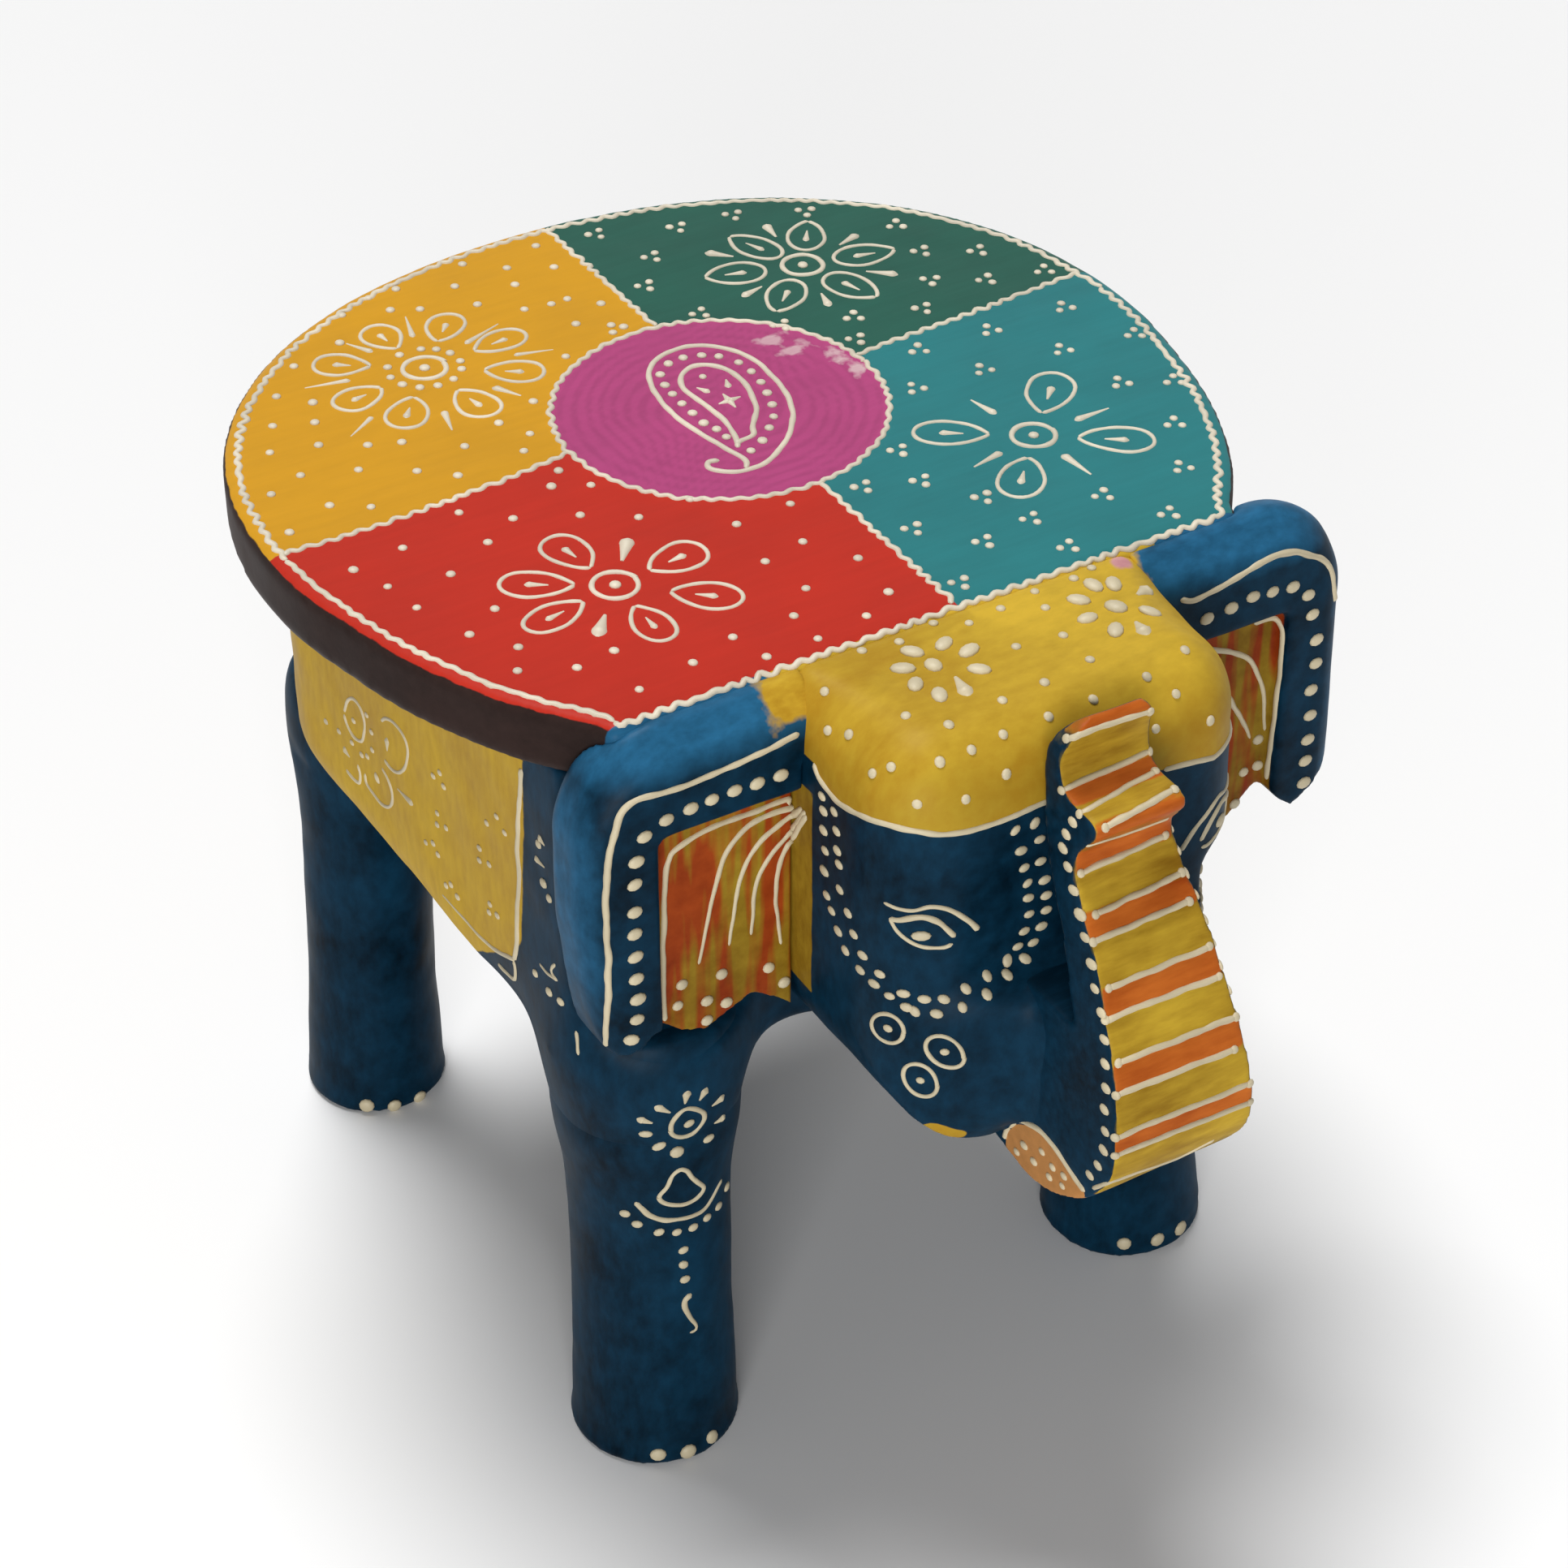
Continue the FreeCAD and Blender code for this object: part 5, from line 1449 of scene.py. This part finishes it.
TOE_DOTS = {"front_right": [(811, 1792), (848, 1788), (877, 1770)],
            "front_left": [(1385, 1532), (1426, 1527), (1454, 1513)],
            "back_right": [(452, 1362), (486, 1362), (517, 1351)]}
TOE_DOT = 3.5 * MM
# How much wider, as a share, a leg is at its foot and at its top than the turned solid
FOOT_SPREAD = 0.055
TOP_SPREAD = {"front": -0.09, "back": 0.04}


def body_material():
    """The one coat of paints that the torso and the legs share."""
    name = "brushed enamel on the body"
    if name in bpy.data.materials:
        return bpy.data.materials[name]
    return painted_wood(name, body_blue(), [
        coat("flank", (linear("#B68D1E"), linear("#D3AC2B")), 0.5, 0.6)],
        along=(0.5, 1.0, 0.4))


class STOOL_OT_legs(bpy.types.Operator):
    """Paint the four turned legs and lay their dots and drops"""
    bl_idname = "stool.legs"
    bl_label = "Legs"

    def execute(self, context):
        middles = {}
        surfaces = {}
        for place in ("front_right", "front_left", "back_right", "back_left"):
            node = "leg_" + place
            piece = carved_copy(node, "leg_turning_" + place,
                                wood().carving_grain * 1.2, 1.0, 3)
            low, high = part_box(node)
            middles[place] = (low + high) / 2
            # the foot keeps its crisp edge, and a front leg's top is drawn in under the torso
            points = points_of(piece.data)
            z = points[:, 2] / MM
            top = TOP_SPREAD[place.split("_")[0]]
            spread = FOOT_SPREAD * smooth_step(4, 0, z) + top * smooth_step(86, 104, z)
            for axis in (0, 1):
                points[:, axis] += (points[:, axis] - middles[place][axis]) * spread
            set_points(piece.data, points)
            mark(piece, "flank", np.full(len(points), FAR_OFF))
            piece.data.materials.append(body_material())
            surfaces[place] = surface_of(piece, bpy.data.objects["torso_block"])
        fine, dot = cone("fine"), cone("dot")
        work = ConeWork("leg_cone_work", surfaces["front_right"])

        def to_left(_, path):
            sum_x = middles["front_right"].x + middles["front_left"].x
            back = middles["front_left"].y - middles["front_right"].y
            return mirrored(surfaces["front_left"], path, sum_x, back)

        work.trail(LEG_RING, fine * 1.15, to_left, closed=True)
        work.trail(LEG_ARROW, fine * 1.1, to_left, closed=True)
        work.trail(LEG_ARC, fine * 1.1, to_left, ends=(1.3, 0.8))
        work.trail(LEG_TAIL, fine * 1.1, to_left, ends=(1.5, 0.6))
        work.spots(LEG_DOTS, dot * 1.05, 1.1, to_left)
        work.spots([LEG_MIDDLE], LEG_MIDDLE_WIDTH, 1.0, to_left)
        work.dabs(LEG_DABS, LEG_DAB, to_left)
        for place, pixels in TOE_DOTS.items():
            work.surface = surfaces[place]
            work.spots(pixels, TOE_DOT)
        near, far = middles["back_right"], middles["back_left"]
        toes = [cast(surfaces["back_right"], p) for p in TOE_DOTS["back_right"]]
        for spot, normal in mirrored(surfaces["back_left"], toes, near.x + far.x):
            work.dot(spot, normal, TOE_DOT)
        work.settle()
        return {"FINISHED"}


class STOOL_OT_dowels(bpy.types.Operator):
    """Finish the hidden dowels as bare mango wood"""
    bl_idname = "stool.dowels"
    bl_label = "Dowels"

    def execute(self, context):
        material = new_material("bare mango wood")
        tree = material.node_tree
        place = add_node(tree, "ShaderNodeTexCoord").outputs["Object"]
        grain = add_node(tree, "ShaderNodeTexNoise", {}, {
            "Vector": place, "Scale": 900.0, "Detail": 4.0}).outputs["Fac"]
        mixed = add_node(tree, "ShaderNodeMix", {"data_type": "RGBA"}, {
            0: grain, 6: linear("#8E6339"), 7: linear("#C79A66")}).outputs[2]
        shader = add_node(tree, "ShaderNodeBsdfPrincipled", {}, {
            "Base Color": mixed, "Roughness": 0.7})
        add_node(tree, "ShaderNodeOutputMaterial", {}, {"Surface": shader.outputs["BSDF"]})
        for node in ("seat_dowels", "head_dowels", "ear_dowels", "trunk_dowels"):
            mesh = frame["nodes"][node].data
            mesh.materials.clear()
            mesh.materials.append(material)
        return {"FINISHED"}


# The floor's tone where it is seen, and the duller one that lights the stool from below
FLOOR_SEEN = (0.95, 0.95, 0.95, 1)
FLOOR_BOUNCE = (0.7, 0.7, 0.7, 1)
# How strongly the white surroundings light the stool
SKY_FILL = 0.14
LIT_MIDDLE = Vector((0, 0, 0.1))
# Kind, name, place, strength, and the sun's width as an angle or the softbox's in metres
LIGHTS = [("SUN", "key light", (0.0, 0.4, 1.4), 2.55, math.radians(26)),
          ("AREA", "front softbox", (-0.85, -1.2, 0.45), 13.0, 0.7)]


class STOOL_OT_stage(bpy.types.Operator):
    """Set the pale floor, the studio lights and the camera"""
    bl_idname = "stool.stage"
    bl_label = "Stage"

    def execute(self, context):
        bpy.ops.object.select_all(action="DESELECT")
        bpy.ops.mesh.primitive_plane_add(size=8, location=(0, 0, 0))
        floor = bpy.context.view_layer.objects.active
        floor.name = "floor"
        material = new_material("pale studio floor")
        tree = material.node_tree
        seen_directly = add_node(tree, "ShaderNodeLightPath").outputs["Is Camera Ray"]
        tint = add_node(tree, "ShaderNodeMix", {"data_type": "RGBA"}, {
            0: seen_directly, 6: FLOOR_BOUNCE, 7: FLOOR_SEEN}).outputs[2]
        shader = add_node(tree, "ShaderNodeBsdfDiffuse", {}, {"Color": tint})
        add_node(tree, "ShaderNodeOutputMaterial", {}, {"Surface": shader.outputs["BSDF"]})
        floor.data.materials.append(material)
        world = bpy.data.worlds.new("studio")
        world.use_nodes = True
        tree = world.node_tree
        tree.nodes.clear()
        path = add_node(tree, "ShaderNodeLightPath")
        direct = add_node(tree, "ShaderNodeMath", {"operation": "MAXIMUM"}, {
            0: path.outputs["Is Camera Ray"], 1: path.outputs["Is Transmission Ray"]}).outputs[0]
        mirror = add_node(tree, "ShaderNodeMath", {"operation": "MAXIMUM"}, {
            0: direct, 1: path.outputs["Is Glossy Ray"]}).outputs[0]
        strength = add_node(tree, "ShaderNodeMapRange", {}, {
            "Value": mirror, "To Min": SKY_FILL, "To Max": 1.0}).outputs["Result"]
        sky = add_node(tree, "ShaderNodeBackground", {}, {
            "Color": (1, 1, 1, 1), "Strength": strength})
        add_node(tree, "ShaderNodeOutputWorld", {}, {"Surface": sky.outputs["Background"]})
        context.scene.world = world
        for kind, name, place, strength, spread in LIGHTS:
            bpy.ops.object.light_add(type=kind, location=place)
            lamp = bpy.context.view_layer.objects.active
            lamp.name = name
            lamp.data.energy = strength
            setattr(lamp.data, "angle" if kind == "SUN" else "size", spread)
            way = LIT_MIDDLE - Vector(place)
            lamp.rotation_euler = way.to_track_quat("-Z", "Y").to_euler()
        bpy.ops.object.camera_add(location=CAMERA_PLACE, rotation=CAMERA_TURN.to_euler())
        camera = bpy.context.view_layer.objects.active
        camera.data.lens = LENS
        camera.data.sensor_width = SENSOR
        camera.data.clip_start = 0.01
        context.scene.camera = camera
        context.scene.view_settings.view_transform = "Standard"
        return {"FINISHED"}


class STOOL_PT_panel(bpy.types.Panel):
    """Lists the stool's sizes, colours and steps"""
    bl_label = "Elephant stool"
    bl_idname = "STOOL_PT_panel"
    bl_space_type = "VIEW_3D"
    bl_region_type = "UI"
    bl_category = "Stool"

    def draw(self, context):
        scene = context.scene
        for title, group in (("Wood", scene.stool_wood), ("Paints", scene.stool_paint),
                             ("Cone", scene.stool_cone)):
            box = self.layout.box()
            box.label(text=title)
            for key in group.__annotations__:
                box.prop(group, key)
        for operator in OPERATORS:
            self.layout.operator(operator.bl_idname)


OPERATORS = (STOOL_OT_seat, STOOL_OT_head, STOOL_OT_trunk, STOOL_OT_ears, STOOL_OT_torso,
             STOOL_OT_legs, STOOL_OT_dowels, STOOL_OT_stage)
CLASSES = (StoolWood, StoolPaint, StoolCone) + OPERATORS + (STOOL_PT_panel,)


def register():
    for cls in CLASSES:
        bpy.utils.register_class(cls)
    bpy.types.Scene.stool_wood = PointerProperty(type=StoolWood)
    bpy.types.Scene.stool_paint = PointerProperty(type=StoolPaint)
    bpy.types.Scene.stool_cone = PointerProperty(type=StoolCone)


def unregister():
    for key in ("stool_wood", "stool_paint", "stool_cone"):
        delattr(bpy.types.Scene, key)
    for cls in reversed(CLASSES):
        bpy.utils.unregister_class(cls)


def main():
    register()
    bpy.ops.stool.seat()
    bpy.ops.stool.head()
    bpy.ops.stool.trunk()
    bpy.ops.stool.ears()
    bpy.ops.stool.torso()
    bpy.ops.stool.legs()
    bpy.ops.stool.dowels()
    bpy.ops.stool.stage()


if __name__ == "__main__":
    main()
